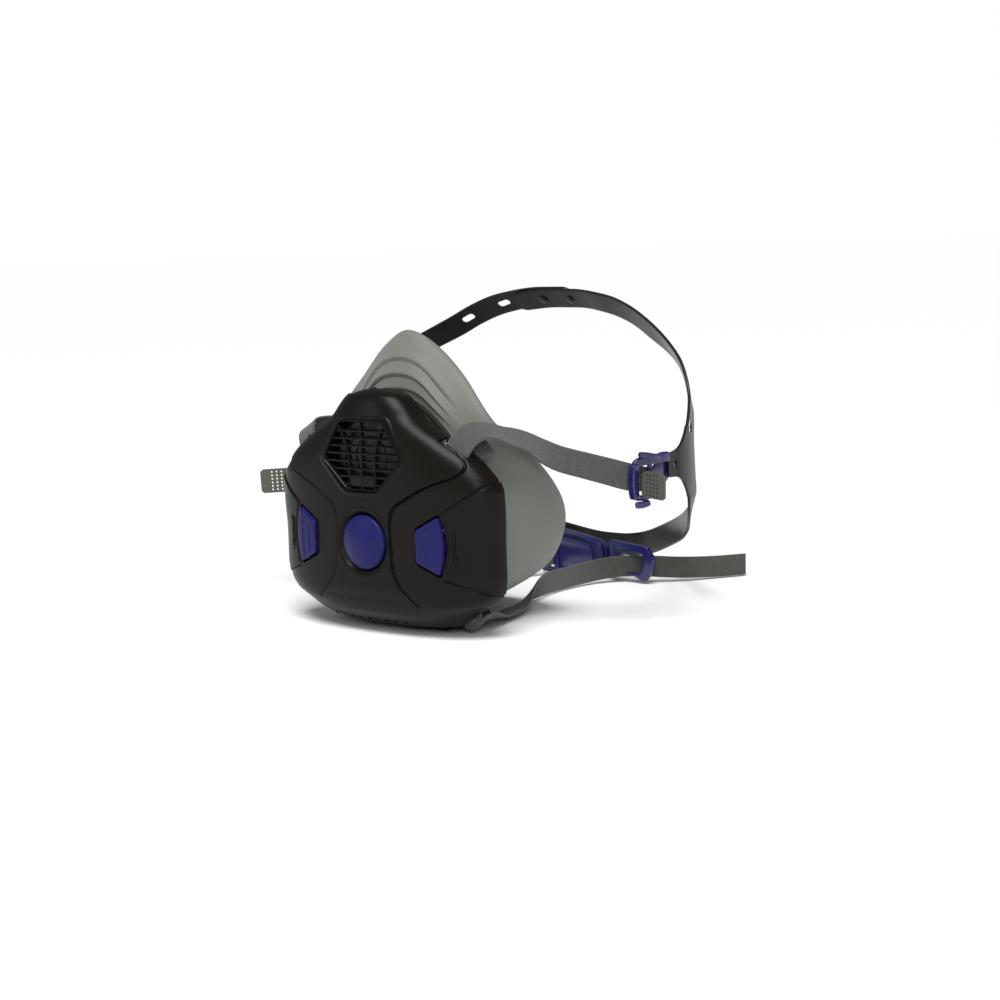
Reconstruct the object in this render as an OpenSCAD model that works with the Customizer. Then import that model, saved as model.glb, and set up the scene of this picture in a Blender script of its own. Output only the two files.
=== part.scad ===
// Half-mask respirator with a head cradle and a neck strap.
// X runs across the face, +X to the wearer's left; +Y runs towards the head; +Z is up.
// The origin is the centre of the flat foot under the housing.

/* [Housing] */
// Half width of the housing where the wings are widest
wing_half_w = 67; // [64:0.5:69]
// Thickness of the housing wall
wall = 2.2; // [1.8:0.1:2.6]
// How far the centre panel stands off the housing skin
panel_gap = 0.65; // [0.5:0.05:0.65]
// Thickness of the centre panel
panel_t = 1.2; // [0.8:0.1:1.5]

/* [Controls] */
// Diameter of the round seal-check button
button_d = 25.2; // [22:0.2:25.6]
// Travel of the seal-check button
button_travel = 3; // [2:0.25:3]
// Height of the button's centre above the foot
button_z = 43.7; // [43:0.1:44.5]
// Thickness of a cartridge release button
release_t = 1.8; // [1.4:0.1:1.8]

/* [Valves] */
// Radius of each inhalation port
inhale_r = 8; // [6.5:0.25:8]
// Distance of each inhalation port from the middle
inhale_x = 28; // [27:0.5:28]
// Radius of the exhalation port
exhale_r = 6.5; // [5:0.25:6.5]
// Height of the exhalation port
exhale_z = 20; // [20:0.1:20.4]
// Radius of the speaking diaphragm
diaphragm_r = 17; // [14:0.5:17]
// Height of the speaking diaphragm
diaphragm_z = 83; // [82:0.5:84]

/* [Seal] */
// Wall thickness of the silicone face seal
seal_t = 2.4; // [2:0.1:2.5]

/* [Harness] */
// Width of the elastic upper straps
upper_w = 12.8; // [11:0.2:13]
// Width of the neck strap
lower_w = 11.4; // [10:0.2:11.6]
// Thickness of the webbing
web_t = 1.3; // [1:0.1:1.4]
// Width of the cradle bands
band_w = 12.8; // [12:0.2:13.2]
// Thickness of the cradle bands
band_t = 1.5; // [1.2:0.1:1.6]

/* [Hidden] */
$fn = 40;

dark = "#2b2925";
blue = "#27286c";
silicone = "#80877b";
knit = "#6d6e6c";
webbing = "#55554c";
steel = "#b5b8ba";
clear_film = "#cfd6d8";

// Housing levels: height, half width, rear edge, front face.
HOUSE = [[0.4, 31.5, 8, -8], [2.5, 39, 1, -18], [5, 43.5, -3, -23.5], [8, 48, -4.5, -28],
    [11, 52, -5.5, -30.5], [17, 62, -7, -32.3], [22, wing_half_w - 2, -7.5, -32.6],
    [30, wing_half_w - 0.8, -8, -32.4], [44, wing_half_w - 0.8, -8, -32], [60, wing_half_w, -8.5, -31.8],
    [68, wing_half_w, -9, -31.6], [73, 65.5, -9.5, -31.5], [78.5, 61, -10.2, -31.4], [84, 55, -11, -31.3],
    [92, 42.5, -13, -31], [97, 34, -14, -30.5], [102.5, 26, -14, -29.8], [107, 22, -14, -28.8],
    [112, 16.5, -14, -26.8], [114.3, 9.5, -14, -24], [115.3, 4, -14.5, -21]];
foot_half_w = 28;
foot_y = [-8.5, 14];
skin_power = 0.8;
skin_steps = 14;

// Centre panel: height and half width, widening to the shoulders above the waist.
PANEL = [[13, 34], [18.9, 26.9], [24.4, 21.2], [31.4, 17.9], [46, 16.6], [56, 16.8], [61, 19], [65, 25],
    [69, 32], [73, 41], [77, 52], [80, 54]];

// Hexagonal grille opening, right half from top to bottom.
GRILLE = [[14.3, 101.3], [25.4, 83], [9.8, 67.7]];

// Seal rings on the wearer's left half, from the nose bridge down to the chin.
SEAL_RIM = [[0, 108.9], [13, 106.8], [27, 97.6], [41.5, 82], [49.2, 63], [49.6, 40], [46.5, 20], [32, 8],
    [0, 5.6]];
SEAL_BULGE = [[0, -2.5, 124], [13, -2.6, 120.5], [31, -1.5, 107.5], [45, 1, 89], [53.5, 9, 69],
    [55.5, 16, 47], [50, 20, 26], [33, 20, 10.5], [0, 18, 7.5]];
SEAL_EDGE = [[0, 5.5, 141.2], [17, 5, 134.5], [34, 4, 120.5], [49, 8, 98.5], [60, 24, 80], [62.5, 41, 58],
    [54.5, 51, 38], [34, 61, 20], [0, 66, 11]];
SEAL_LIP = [[0, 17, 128], [11, 18, 121.5], [24, 18, 107], [36, 22, 90], [45, 36, 74], [47, 48, 57],
    [40, 56, 42], [24, 62, 31], [0, 65, 26]];
rim_front = -10;
rim_rear = -3;
rim_clear = 0.25;
seal_chain = 4;
seal_ring = 3;

plate_front = -20;
plate_back = -17.6;
yoke_front = -28.3;
yoke_back = -26.7;
pad_back = -25.1;
seat_front = pad_back + button_travel + 0.1;
cup_floor = -12.4;

socket_x = 56.8;
socket_z = 44;
socket_in = [7.6, 34];
socket_y = [-13.2, -6.4];
socket_wall = 1.2;

upper_bar = [46.5, -14.5, 88.3];
upper_bar_dir = [0.87, 0, -0.49];
lower_bar = [46.6, -5.5, 7.6];
lower_bar_dir = [0.82, 0, 0.57];
bar_r = 1.5;
loop_gap = 0.4;

UPPER_PATH = [[52, -5, 93], [58, 5, 93.3], [66, 16, 89.8], [78, 28, 83], [89, 37.5, 76.2],
    [96.2, 42.3, 72.3]];
UPPER_DIR = [[0.75, 0.1, -0.65], [0.5, 0.1, -0.85], [0.25, 0.05, -0.95], [0.1, 0, -1], [0, 0, -1],
    [0, 0, -1]];
CROWN_PATH = [[107, 87, 92.6], [107, 87.2, 97], [104.2, 91, 103.6], [100.1, 94.7, 109.3],
    [94.2, 100, 116.7], [85.5, 106.5, 123.3], [74.9, 112.5, 129.5], [63.3, 117, 135.6],
    [51.9, 120, 141.6], [39.7, 122, 146.3], [26.9, 123.8, 149], [8, 126.5, 150.6], [-10, 126.5, 150.6],
    [-27, 124, 148.8]];
CROWN_DIR = [[0, -1, 0], [0, -1, 0], [0.3, -0.88, 0.35], [0.34, -0.67, 0.66], [0.21, -0.63, 0.75],
    [0.09, -0.64, 0.76], [0.12, -0.64, 0.76], [0.21, -0.6, 0.77], [0.21, -0.62, 0.76],
    [0.15, -0.61, 0.78], [0.07, -0.64, 0.77], [0, -0.66, 0.75], [0, -0.66, 0.75], [0, -0.66, 0.75]];
REAR_PATH = [[107, 93.4, 65.3], [99, 106, 56], [86, 121, 45.5], [70, 139, 34.5], [50, 155, 24.5],
    [27, 167.5, 16.4], [12, 172, 13.2], [0, 173, 12.6]];
REAR_DIR = [[0, 0.65, 0.75], [0, 0.5, 0.86], [0, 0.3, 0.95], [0, 0.1, 0.99], [0, 0, 1], [0, -0.1, 0.99],
    [0, -0.2, 0.98], [0, -0.22, 0.97]];
NECK_LEFT = [[43.5, 5, 4.9], [38, 20, 2.6], [34, 40, 3.2], [25, 62, 5.4], [18, 84, 6.1], [17, 104, 6.2],
    [20, 122, 6.9], [27, 133.2, 8], [33, 137.4, 8.3], [40, 141.2, 8.3], [48, 145, 8], [58, 153, 7.2],
    [68, 167, 6.3], [78, 182, 6.1]];
NECK_LEFT_DIR = [[0.82, 0, 0.57], [1, 0, 0.1], [1, 0, 0.15], [0.6, 0, 0.8], [0.1, 0, 1], [0, 0, 1],
    [0, 0, 1], [0, 0, 1], [0, 0, 1], [0, 0, 1], [0, 0, 1], [0, 0, 1], [0, 0, 1], [0, 0, 1]];
NECK_RIGHT = [[-43.5, 5, 4.9], [-39, 20, 2.6], [-36, 40, 3.2], [-33, 62, 5.4], [-31, 84, 6.1],
    [-30, 102, 6.5], [-27, 116, 7.5], [-21.2, 126.5, 9.2], [-18, 133, 10.1], [-18, 137.5, 10.3],
    [-18, 142, 10.3], [-17.8, 149, 10.3]];
NECK_RIGHT_DIR = [[-0.82, 0, 0.57], [-1, 0, 0.1], [-1, 0, 0.15], [-0.6, 0, 0.8], [-0.1, 0, 1], [0, 0, 1],
    [0, 0, 1], [0, 0, 1], [0, 0, 1], [0, 0, 1], [0, 0, 1], [0, 0, 1]];

buckle_at = [101, 46, 69];
pivot = [107, 71, 74];
clip_y = 136;
peg_x = [-10, 8];
peg_yz = [126.5, 150.6];
peg_dir = [0, 0.75, 0.66];
screw_at = [[38, 25], [36, 72]];

// ---- helper functions -----------------------------------------------------------------------------

function unit(v) = v / norm(v);
function column(table, key, value) = [for (row = table) [row[key], row[value]]];
function flip(p) = [for (i = [0:len(p) - 1]) i == 0 ? -p[i] : p[i]];
function knot(keys, i) = keys[max(0, min(len(keys) - 1, i))];
function blend4(a, b, c, d, f) =
    0.5 * (2 * b + (c - a) * f + (2 * a - 5 * b + 4 * c - d) * f * f + (3 * b - a - 3 * c + d) * f * f * f);
// A smooth open curve through the keys, t from 0 to the last key.
function smooth(keys, t) =
    let (i = min(floor(t), len(keys) - 2))
    blend4(knot(keys, i - 1), knot(keys, i), knot(keys, i + 1), knot(keys, i + 2), t - i);
function smooth_run(keys, n) = [for (i = [0:n * (len(keys) - 1)]) smooth(keys, i / n)];
// A closed ring, mirrored left to right, through keys that start and end on the middle plane.
function full_ring(keys) = concat(keys, [for (i = [len(keys) - 2:-1:1]) flip(keys[i])]);
function ring_at(keys, t) =
    let (n = len(keys), i = floor(t))
    blend4(keys[(i + n - 1) % n], keys[i % n], keys[(i + 1) % n], keys[(i + 2) % n], t - i);
function ring_run(half, n) =
    let (keys = full_ring(half)) [for (i = [0:n * len(keys) - 1]) ring_at(keys, i / n)];
// A closed flat outline moved inwards; the outline runs clockwise seen from the front.
function inset(loop, d) =
    let (n = len(loop))
    [for (i = [0:n - 1])
        let (t = unit(loop[(i + 1) % n] - loop[(i + n - 1) % n])) loop[i] + d * [t[1], -t[0]]];

function half_w(z) = lookup(z, column(HOUSE, 0, 1));
function rear_y(z) = lookup(z, column(HOUSE, 0, 2));
function front_y(z) = lookup(z, column(HOUSE, 0, 3));
// The wall is measured square to the skin, so a level's own inset grows where the skin slopes over.
function slope(z) = min(2.6, norm([1, (half_w(z + 0.5) - half_w(z - 0.5))]));
// A point on the housing skin, moved in by d; s runs from -1 to 1 across the face.
function skin(z, s, d = 0) =
    let (full = rear_y(z) - front_y(z), w = max(half_w(z) / 2, half_w(z) - d),
        depth = max(full / 2, full - d))
    [sign(s) * w * pow(abs(sin(90 * s)), skin_power), rear_y(z) - depth * pow(cos(90 * s), skin_power), z];
function skin_row(z, from, to, n, d = 0) = [for (i = [0:n]) skin(z, from + (to - from) * i / n, d)];
// The s value at which the skin reaches a given x on a level.
function skin_s(z, x) = asin(pow(min(1, abs(x) / half_w(z)), 1 / skin_power)) / 90 * sign(x);
function reversed(list) = [for (i = [len(list) - 1:-1:0]) list[i]];
function stack(rows) = [for (row = rows) for (p = row) p];
// The two triangles between places i and j of the rings that start at a and b.
function two_facets(a, b, i, j) = [[a + i, a + j, b + j], [a + i, b + j, b + i]];
// The end of a loft as a strip of triangles between the two halves of its ring, which starts at a.
function end_facets(a, n) =
    [for (i = [0:n / 2 - 2]) each [[a + i, a + i + 1, a + n - 2 - i],
        [a + i, a + n - 2 - i, a + n - 1 - i]]];

rim_outline = ring_run(SEAL_RIM, seal_ring);

// ---- helper modules -------------------------------------------------------------------------------

// A solid through closed rings of equal length, capped at both ends.
module loft(rings) {
    n = len(rings[0]);
    m = len(rings);
    sides = [for (k = [0:m - 2]) for (i = [0:n - 1]) each two_facets(k * n, (k + 1) * n, i, (i + 1) % n)];
    first = [for (f = end_facets(0, n)) reversed(f)];
    polyhedron(points = stack(rings), faces = concat(sides, first, end_facets((m - 1) * n, n)),
        convexity = 8);
}

// A solid whose rings close on each other, like a tyre.
module hoop(rings) {
    n = len(rings[0]);
    m = len(rings);
    sides = [for (k = [0:m - 1]) for (i = [0:n - 1])
        each two_facets(k * n, ((k + 1) % m) * n, i, (i + 1) % n)];
    polyhedron(points = stack(rings), faces = sides, convexity = 8);
}

// A flat band along a curve; side gives the direction of its width at each key.
module ribbon(path, side, width, thick, n = 4, lift = 0) {
    centre = smooth_run(path, n);
    across = smooth_run(side, n);
    last = len(centre) - 1;
    rings = [for (i = [0:last])
        let (t = unit(centre[min(last, i + 1)] - centre[max(0, i - 1)]),
            w = unit(across[i] - t * (t * across[i])),
            out = cross(t, w),
            c = centre[i] + out * lift)
        [c + w * width / 2 + out * thick / 2, c - w * width / 2 + out * thick / 2,
            c - w * width / 2 - out * thick / 2, c + w * width / 2 - out * thick / 2]];
    loft(rings);
}

// Children drawn along +Z are turned to point along a direction.
module aim(dir) {
    d = unit(dir);
    rotate([0, acos(d[2]), atan2(d[1], d[0])]) children();
}

// A cylinder along +Y, from y0 to y1, at x and z.
module rod_y(x, z, r, y0, y1) {
    translate([x, y0, z]) rotate([-90, 0, 0]) cylinder(r = r, h = y1 - y0);
}

// A flat outline of [x, z] points, from y0 to y1.
module slab_y(outline, y0, y1) {
    translate([0, y1, 0]) rotate([90, 0, 0]) linear_extrude(y1 - y0) polygon(outline);
}

// A flat outline of [y, z] points, from x0 to x1.
module slab_x(outline, x0, x1) {
    translate([x0, 0, 0]) rotate([90, 0, 90]) linear_extrude(x1 - x0) polygon(outline);
}

module box(low, high) {
    translate(low) cube(high - low);
}

module other_side(is_right) {
    if (is_right) mirror([1, 0, 0]) children();
    else children();
}

// A helical spring along +Y.
module coil_y(x, z, r, wire, y0, y1, turns) {
    sides = 6;
    per_turn = 12;
    steps = turns * per_turn;
    rings = [for (i = [0:steps])
        let (a = 360 * i / per_turn, u = i / steps, y = y0 + wire + (y1 - y0 - 2 * wire) * u)
        [for (k = [0:sides - 1])
            let (b = -360 * k / sides)
            [x + (r + wire * cos(b)) * cos(a), y + wire * sin(b), z + (r + wire * cos(b)) * sin(a)]]];
    loft(rings);
}

function hexagon(grow) =
    let (c = [0, 84.5], pts = concat(GRILLE, [for (i = [2:-1:0]) [-GRILLE[i][0], GRILLE[i][1]]]))
    [for (p = pts) p + grow * unit(p - c)];

function release_outline(grow) = [[31.9 - grow, 51.4 + grow * 0.6], [43.6 + grow, 58 + grow],
    [45.2 + grow, 44.5], [43.9 + grow, 30.9 - grow], [32 - grow, 36.4 - grow * 0.6]];

// ---- housing --------------------------------------------------------------------------------------

module housing_shell() {
    rings = [for (row = HOUSE)
        concat(skin_row(row[0], -1, 1, 2 * skin_steps),
            reversed(skin_row(row[0], -1, 1, 2 * skin_steps, wall * slope(row[0]))))];
    loft(rings);
}

module anchor_notch(centre, dir, width) {
    translate(centre) aim(dir) cylinder(r = 5, h = width, center = true);
}

module front_housing() {
    slot_count = 7;
    slot_pitch = 6.2;
    color(dark) difference() {
        housing_shell();
        box([-foot_half_w - 0.1, foot_y[0] - 0.1, -1], [foot_half_w + 0.1, foot_y[1] + 0.1, wall + 0.2]);
        slab_y(hexagon(0.6), -40, -20);
        rod_y(0, button_z, button_d / 2 + 0.7, -40, -25);
        for (side = [0, 1]) other_side(side == 1) {
            slab_y(release_outline(0.7), -40, -24);
            anchor_notch(upper_bar, upper_bar_dir, upper_w + 1.4);
            anchor_notch(lower_bar, lower_bar_dir, lower_w + 1.4);
        }
        for (i = [0:slot_count - 1])
            translate([(i - (slot_count - 1) / 2) * slot_pitch, -40, 7.6]) cube([3.6, 20, 1.5]);
    }
}

module base_plate() {
    color(dark) box([-foot_half_w, foot_y[0], 0], [foot_half_w, foot_y[1], wall + 0.1]);
}

module centre_panel() {
    steps = 20;
    function panel_row(z, w) =
        let (s = min(skin_s(z, w), 0.9))
        concat(skin_row(z, -s, s, steps, -panel_gap - panel_t),
            reversed(skin_row(z, -s, s, steps, -panel_gap)));
    rows = concat([for (p = PANEL) panel_row(p[0], p[1])],
        [for (row = HOUSE) if (row[0] > 83 && row[0] < 113) panel_row(row[0], row[1] * 0.93)]);
    color(dark) difference() {
        loft(rows);
        slab_y(hexagon(0.6), -40, -20);
        rod_y(0, button_z, button_d / 2 + 0.7, -40, -25);
        for (side = [0, 1]) other_side(side == 1)
            anchor_notch(upper_bar, upper_bar_dir, upper_w + 1.4);
    }
}

module grille() {
    bars = 8;
    pitch = 3.9;
    color(dark) {
        difference() {
            slab_y(hexagon(0.2), -31, -27.6);
            slab_y(hexagon(-2), -32, -27);
        }
        intersection() {
            slab_y(hexagon(-1.9), -30.4, -28.2);
            union() {
                for (i = [0:bars - 1]) box([-27, -31, 70.4 + i * pitch], [27, -28, 71.6 + i * pitch]);
                box([-0.6, -31, 60], [0.6, -28, 110]);
                for (x = [-1, 1]) slab_y([[8 * x, 64], [9.2 * x, 64], [9.4 * x, 84], [14.6 * x, 98],
                    [13.4 * x, 98], [8.2 * x, 84]], -30.8, -28.4);
                box([-7.4, -30.8, 69.5], [7.4, -28.4, 75]);
            }
        }
    }
}

module housing_screws() {
    color(steel) for (side = [0, 1]) other_side(side == 1) for (at = screw_at) {
        rod_y(at[0], at[1], 1.2, -24.5, plate_back + 0.8);
        difference() {
            rod_y(at[0], at[1], 2.3, plate_back, plate_back + 1.6);
            rod_y(at[0], at[1], 0.9, plate_back + 0.8, plate_back + 2);
        }
    }
}

module screw_posts() {
    color(dark) for (side = [0, 1]) other_side(side == 1) for (at = screw_at) difference() {
        rod_y(at[0], at[1], 3, -25.6, plate_front);
        rod_y(at[0], at[1], 1.3, -25, -10);
    }
}

// ---- speaking diaphragm ---------------------------------------------------------------------------

module speaking_diaphragm() {
    color(clear_film) {
        rod_y(0, diaphragm_z, diaphragm_r, -24.5, -24.05);
        difference() {
            rod_y(0, diaphragm_z, 10, -24.9, -24.4);
            rod_y(0, diaphragm_z, 9, -25, -24.3);
        }
    }
}

module diaphragm_ring() {
    color("#3a3a38") difference() {
        rod_y(0, diaphragm_z, diaphragm_r + 1.2, -26, -24.55);
        rod_y(0, diaphragm_z, diaphragm_r - 2, -27, -24);
    }
}

// ---- seal check -----------------------------------------------------------------------------------

module seal_check_button() {
    color(blue) translate([0, 0, button_z]) rotate([90, 0, 0]) rotate_extrude($fn = 72) difference() {
        polygon(concat([[0, 29], [0, 35.3]], [for (a = [75:-15:0]) [button_d / 2 - 2 + 2 * cos(a),
            32.2 + 2 * sin(a)]],
            [[button_d / 2, 29]]));
    }
}

module shutter_yoke() {
    color("#34332f") {
        box([-inhale_x, yoke_front, button_z - 3.5], [inhale_x, yoke_back, button_z + 3.5]);
        rod_y(0, button_z, 4, -29, yoke_back);
        for (x = [-1, 1]) rod_y(inhale_x * x, 44, inhale_r + 1.4, yoke_back, pad_back);
        for (x = [-1, 1]) box([inhale_x * x - 3, yoke_front + 0.6, 40.5],
            [inhale_x * x + 3, yoke_back, 47.5]);
        rod_y(0, button_z, 2.6, yoke_back, -21);
    }
}

module seal_check_spring() {
    color(steel) coil_y(0, button_z, 3.9, 0.45, cup_floor - 14.25, cup_floor - 0.05, 5);
}

// ---- release buttons ------------------------------------------------------------------------------

module release_button(is_right) {
    tilt = 11;
    color(blue) other_side(is_right) {
        intersection() {
            slab_y(release_outline(0), -40, -22);
            translate([38, -30.45, 0]) rotate([0, 0, tilt]) translate([-20, 0, 0])
                cube([40, release_t, 80]);
        }
        for (x = [36.4, 40.4]) intersection() {
            slab_y(release_outline(-1.6), -40, -22);
            translate([38, -30.45, 0]) rotate([0, 0, tilt])
                translate([x - 39.1, -0.7, 0]) cube([2.2, 1.2, 80]);
        }
        box([43.2, -27.8, 41.5], [45, -23.4, 47]);
    }
}

module release_spring(is_right) {
    color(steel) other_side(is_right) coil_y(40.7, 50.5, 1.5, 0.35, -27.9, plate_front - 0.1, 5);
}

// ---- inner body and valves ------------------------------------------------------------------------

module inner_body() {
    body_inset = seal_t + rim_clear;
    color("#3a3935") difference() {
        union() {
            difference() {
                slab_y(inset(rim_outline, body_inset), plate_front, rim_rear + 2);
                slab_y(inset(rim_outline, body_inset + 2), plate_back, rim_rear + 3);
            }
            rod_y(0, diaphragm_z, diaphragm_r + 1.2, -24, plate_back);
            rod_y(0, button_z, 6.6, plate_back - 1, cup_floor + 1.4);
        }
        rod_y(0, diaphragm_z, diaphragm_r - 2, -25, -10);
        rod_y(0, button_z, 5.2, -25, cup_floor);
        rod_y(0, exhale_z, exhale_r, -25, -10);
        for (x = [-1, 1]) rod_y(inhale_x * x, 44, inhale_r + 0.02, -25, -10);
        for (side = [0, 1]) other_side(side == 1) for (at = screw_at) {
            rod_y(at[0], at[1], 1.3, -25, -10);
        }
    }
}

module inhalation_seat(is_right) {
    color("#b9b8ae") other_side(is_right) {
        difference() {
            union() {
                rod_y(inhale_x, 44, inhale_r + 1.4, seat_front, plate_front);
                rod_y(inhale_x, 44, inhale_r, seat_front, plate_back - 0.1);
            }
            rod_y(inhale_x, 44, inhale_r - 0.9, -25, -10);
        }
        intersection() {
            rod_y(inhale_x, 44, inhale_r - 0.5, plate_front, plate_back - 0.1);
            for (a = [0, 60, 120]) translate([inhale_x, -18.8, 44]) rotate([0, a, 0])
                cube([20, 2.2, 1], center = true);
        }
    }
}

module inhalation_flap(is_right) {
    color("#c8b98a") other_side(is_right)
        rod_y(inhale_x, 44, inhale_r + 1, plate_back + 0.05, plate_back + 0.65);
}

module exhalation_seat() {
    color("#b9b8ae") difference() {
        rod_y(0, exhale_z, exhale_r + 1.8, -22.6, plate_front);
        rod_y(0, exhale_z, exhale_r, -23, -19);
    }
}

module exhalation_flap() {
    color("#c8b98a") rod_y(0, exhale_z, exhale_r + 1.2, -23.3, -22.65);
}

module exhaust_cover() {
    color("#34332f") difference() {
        rod_y(0, exhale_z, exhale_r + 3.1, -25.5, plate_front);
        rod_y(0, exhale_z, exhale_r + 2.1, -24.85, plate_front + 1);
        box([-6, -24.85, exhale_z - 12], [6, -20.6, exhale_z - 5]);
    }
}

module port_socket(is_right) {
    low = [socket_x - socket_in[0] / 2, socket_y[0], socket_z - socket_in[1] / 2];
    high = [socket_x + socket_in[0] / 2, socket_y[1], socket_z + socket_in[1] / 2];
    color(dark) other_side(is_right) difference() {
        box(low - [socket_wall, socket_wall, 1.5], high + [socket_wall, 0, 1.5]);
        box(low, high + [0, 5, 0]);
        box(low + [1.8, -5, 5], high + [-1.8, 0, -5]);
    }
}

module port_gasket(is_right) {
    low = [socket_x - socket_in[0] / 2 + 0.2, socket_y[0] + 0.05, socket_z - socket_in[1] / 2 + 0.2];
    high = [socket_x + socket_in[0] / 2 - 0.2, socket_y[0] + 1.4, socket_z + socket_in[1] / 2 - 0.2];
    color(silicone) other_side(is_right) difference() {
        box(low, high);
        box(low + [1.5, -5, 4.5], high + [-1.5, 5, -4.5]);
    }
}

// ---- face seal ------------------------------------------------------------------------------------

// Outer skin of the seal: for each place round the face,
// a curve from the rim out to the edge and in to the lip.
function seal_skin() =
    let (rim = ring_run(SEAL_RIM, seal_ring), bulge = ring_run(SEAL_BULGE, seal_ring),
        edge = ring_run(SEAL_EDGE, seal_ring), lip = ring_run(SEAL_LIP, seal_ring))
    [for (i = [0:len(rim) - 1]) concat([[rim[i][0], rim_front, rim[i][1]]],
        smooth_run([[rim[i][0], rim_rear, rim[i][1]], bulge[i], edge[i], lip[i]], seal_chain))];

module face_seal() {
    grid = seal_skin();
    n = len(grid);
    last = len(grid[0]) - 1;
    function normal(i, j) = unit(cross(grid[(i + 1) % n][j] - grid[(i + n - 1) % n][j],
        grid[i][min(last, j + 1)] - grid[i][max(0, j - 1)]));
    rings = [for (i = [0:n - 1]) concat([for (j = [0:last]) grid[i][j]],
        [for (j = [last:-1:0]) grid[i][j] - normal(i, j) * (j > last - 3 ? seal_t * 0.75 : seal_t)])];
    color(silicone) hoop(rings);
}

module seal_clamp_ring() {
    color("#34332f") difference() {
        union() {
            slab_y(inset(rim_outline, -1.7), rim_front + 1, rim_front + 4);
            for (side = [0, 1]) other_side(side == 1)
                box([49, rim_front + 1, 40], [socket_x - socket_in[0] / 2 - socket_wall, rim_front + 4,
                    48]);
        }
        slab_y(inset(rim_outline, -0.3), rim_front - 1, rim_front + 6);
    }
}

// ---- straps ---------------------------------------------------------------------------------------

module anchor_bar(centre, dir, width) {
    color(dark) translate(centre) aim(dir) cylinder(r = bar_r, h = width + 2.4, center = true);
}

module strap_loop(centre, dir, width, tint) {
    color(tint) translate(centre) aim(dir) difference() {
        cylinder(r = bar_r + loop_gap + web_t, h = width, center = true);
        cylinder(r = bar_r + loop_gap, h = width + 2, center = true);
    }
}

module upper_strap(is_right) {
    color(knit) other_side(is_right) ribbon(UPPER_PATH, UPPER_DIR, upper_w, web_t);
}

module upper_buckle(is_right) {
    color(blue) other_side(is_right) translate(buckle_at) rotate([8, 0, -13]) {
        cylinder(r = 2.3, h = 17.4, center = true);
        for (z = [-8.7, 6.9]) translate([-1.6, 0, z]) cube([3.2, 19, 1.8]);
        translate([0, 9, 0]) cylinder(r = 1.3, h = 15, center = true);
        slab_x([[14, -7], [19.5, -7], [19.5, 7], [17, 7], [12.5, 3], [12.5, -2]], 0.6, 2.4);
        for (z = [-10.6, 8.6]) translate([-1.6, 1, z]) cube([3.2, 7, 2]);
    }
    color(blue) other_side(is_right) difference() {
        translate([pivot[0] - 2.8, pivot[1], pivot[2]]) rotate([0, 90, 0]) cylinder(r = 2, h = 5.6);
        translate([pivot[0] - 3, pivot[1], pivot[2]]) rotate([0, 90, 0]) cylinder(r = 0.7, h = 7);
    }
    color(blue) other_side(is_right)
        translate([pivot[0] - 2.8, pivot[1] - 9, pivot[2] - 3.5]) cube([1.6, 11.1, 7]);
}

module strap_tab(is_right) {
    length = 30.5;
    color("#8b8b84") other_side(is_right) translate([104.2, 48.4, 67.3]) rotate([0, 0, -35])
        rotate([0, 2, 0])
        difference() {
            translate([0, -0.7, -6.1]) cube([length, 1.4, 12.2]);
            for (i = [0:2]) for (k = [0:5])
                translate([15.5 + i * 2.6, -2, (k - 2.5) * 1.75]) rotate([-90, 0, 0])
                    cylinder(r = 0.42, h = 4, $fn = 16);
        }
}

// ---- head cradle ----------------------------------------------------------------------------------

module crown_hole(centre, dir) {
    translate(centre) aim(dir) cylinder(r = 2.1, h = 8, center = true);
}

module left_crown_strap() {
    color(dark) difference() {
        ribbon(CROWN_PATH, CROWN_DIR, band_w, band_t);
        crown_hole([106.4, 88.4, 97], [1, 0.1, 0.2]);
        for (x = peg_x) crown_hole([x, peg_yz[0], peg_yz[1]], peg_dir);
    }
}

module right_crown_strap() {
    last = len(CROWN_PATH) - 2;
    color(dark) mirror([1, 0, 0]) difference() {
        ribbon([for (i = [0:last]) CROWN_PATH[i]], [for (i = [0:last]) CROWN_DIR[i]], band_w, band_t,
            lift = band_t + 0.3);
        crown_hole([106.4, 88.4, 97], [1, 0.1, 0.2]);
        crown_hole([58, 118.4, 138.4], [0.4, 0.7, 0.7]);
        crown_hole([36, 122.6, 147.1], [0.2, 0.75, 0.66]);
        for (x = peg_x) crown_hole([-x, peg_yz[0], peg_yz[1]], peg_dir);
    }
}

module crown_pegs() {
    color(dark) for (x = peg_x) translate([x, peg_yz[0], peg_yz[1]]) aim(peg_dir) {
        translate([0, 0, -1.7]) cylinder(r = 1.8, h = 5);
        translate([0, 0, -2.2]) cylinder(r = 2.7, h = 1);
        translate([0, 0, 2.7]) cylinder(r = 2.7, h = 0.9);
    }
}

module cradle_plate(is_right) {
    color(dark) other_side(is_right) difference() {
        junction_outline();
        translate([100, pivot[1], pivot[2]]) rotate([0, 90, 0]) cylinder(r = 2.06, h = 14);
    }
}

module junction_outline() {
    slab_x([[66, 68], [66, 80], [74, 80.8], [78, 84], [80.6, 91.4], [93.4, 91.4], [95, 82], [96.2, 71.2],
        [87.8, 61.2], [80, 66.5], [74, 67.6]], 107 - band_t / 2 - 0.3, 107 + band_t / 2 + 0.3);
}

module occipital_band() {
    full_path = concat(REAR_PATH, [for (i = [len(REAR_PATH) - 2:-1:0]) flip(REAR_PATH[i])]);
    full_dir = concat(REAR_DIR, [for (i = [len(REAR_DIR) - 2:-1:0]) flip(REAR_DIR[i])]);
    color(dark) {
        ribbon(full_path, full_dir, band_w, band_t, n = 3);
    }
}

// ---- neck strap and clip --------------------------------------------------------------------------

module left_neck_strap() {
    color(webbing) ribbon(NECK_LEFT, NECK_LEFT_DIR, lower_w, web_t, n = 3);
}

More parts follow.
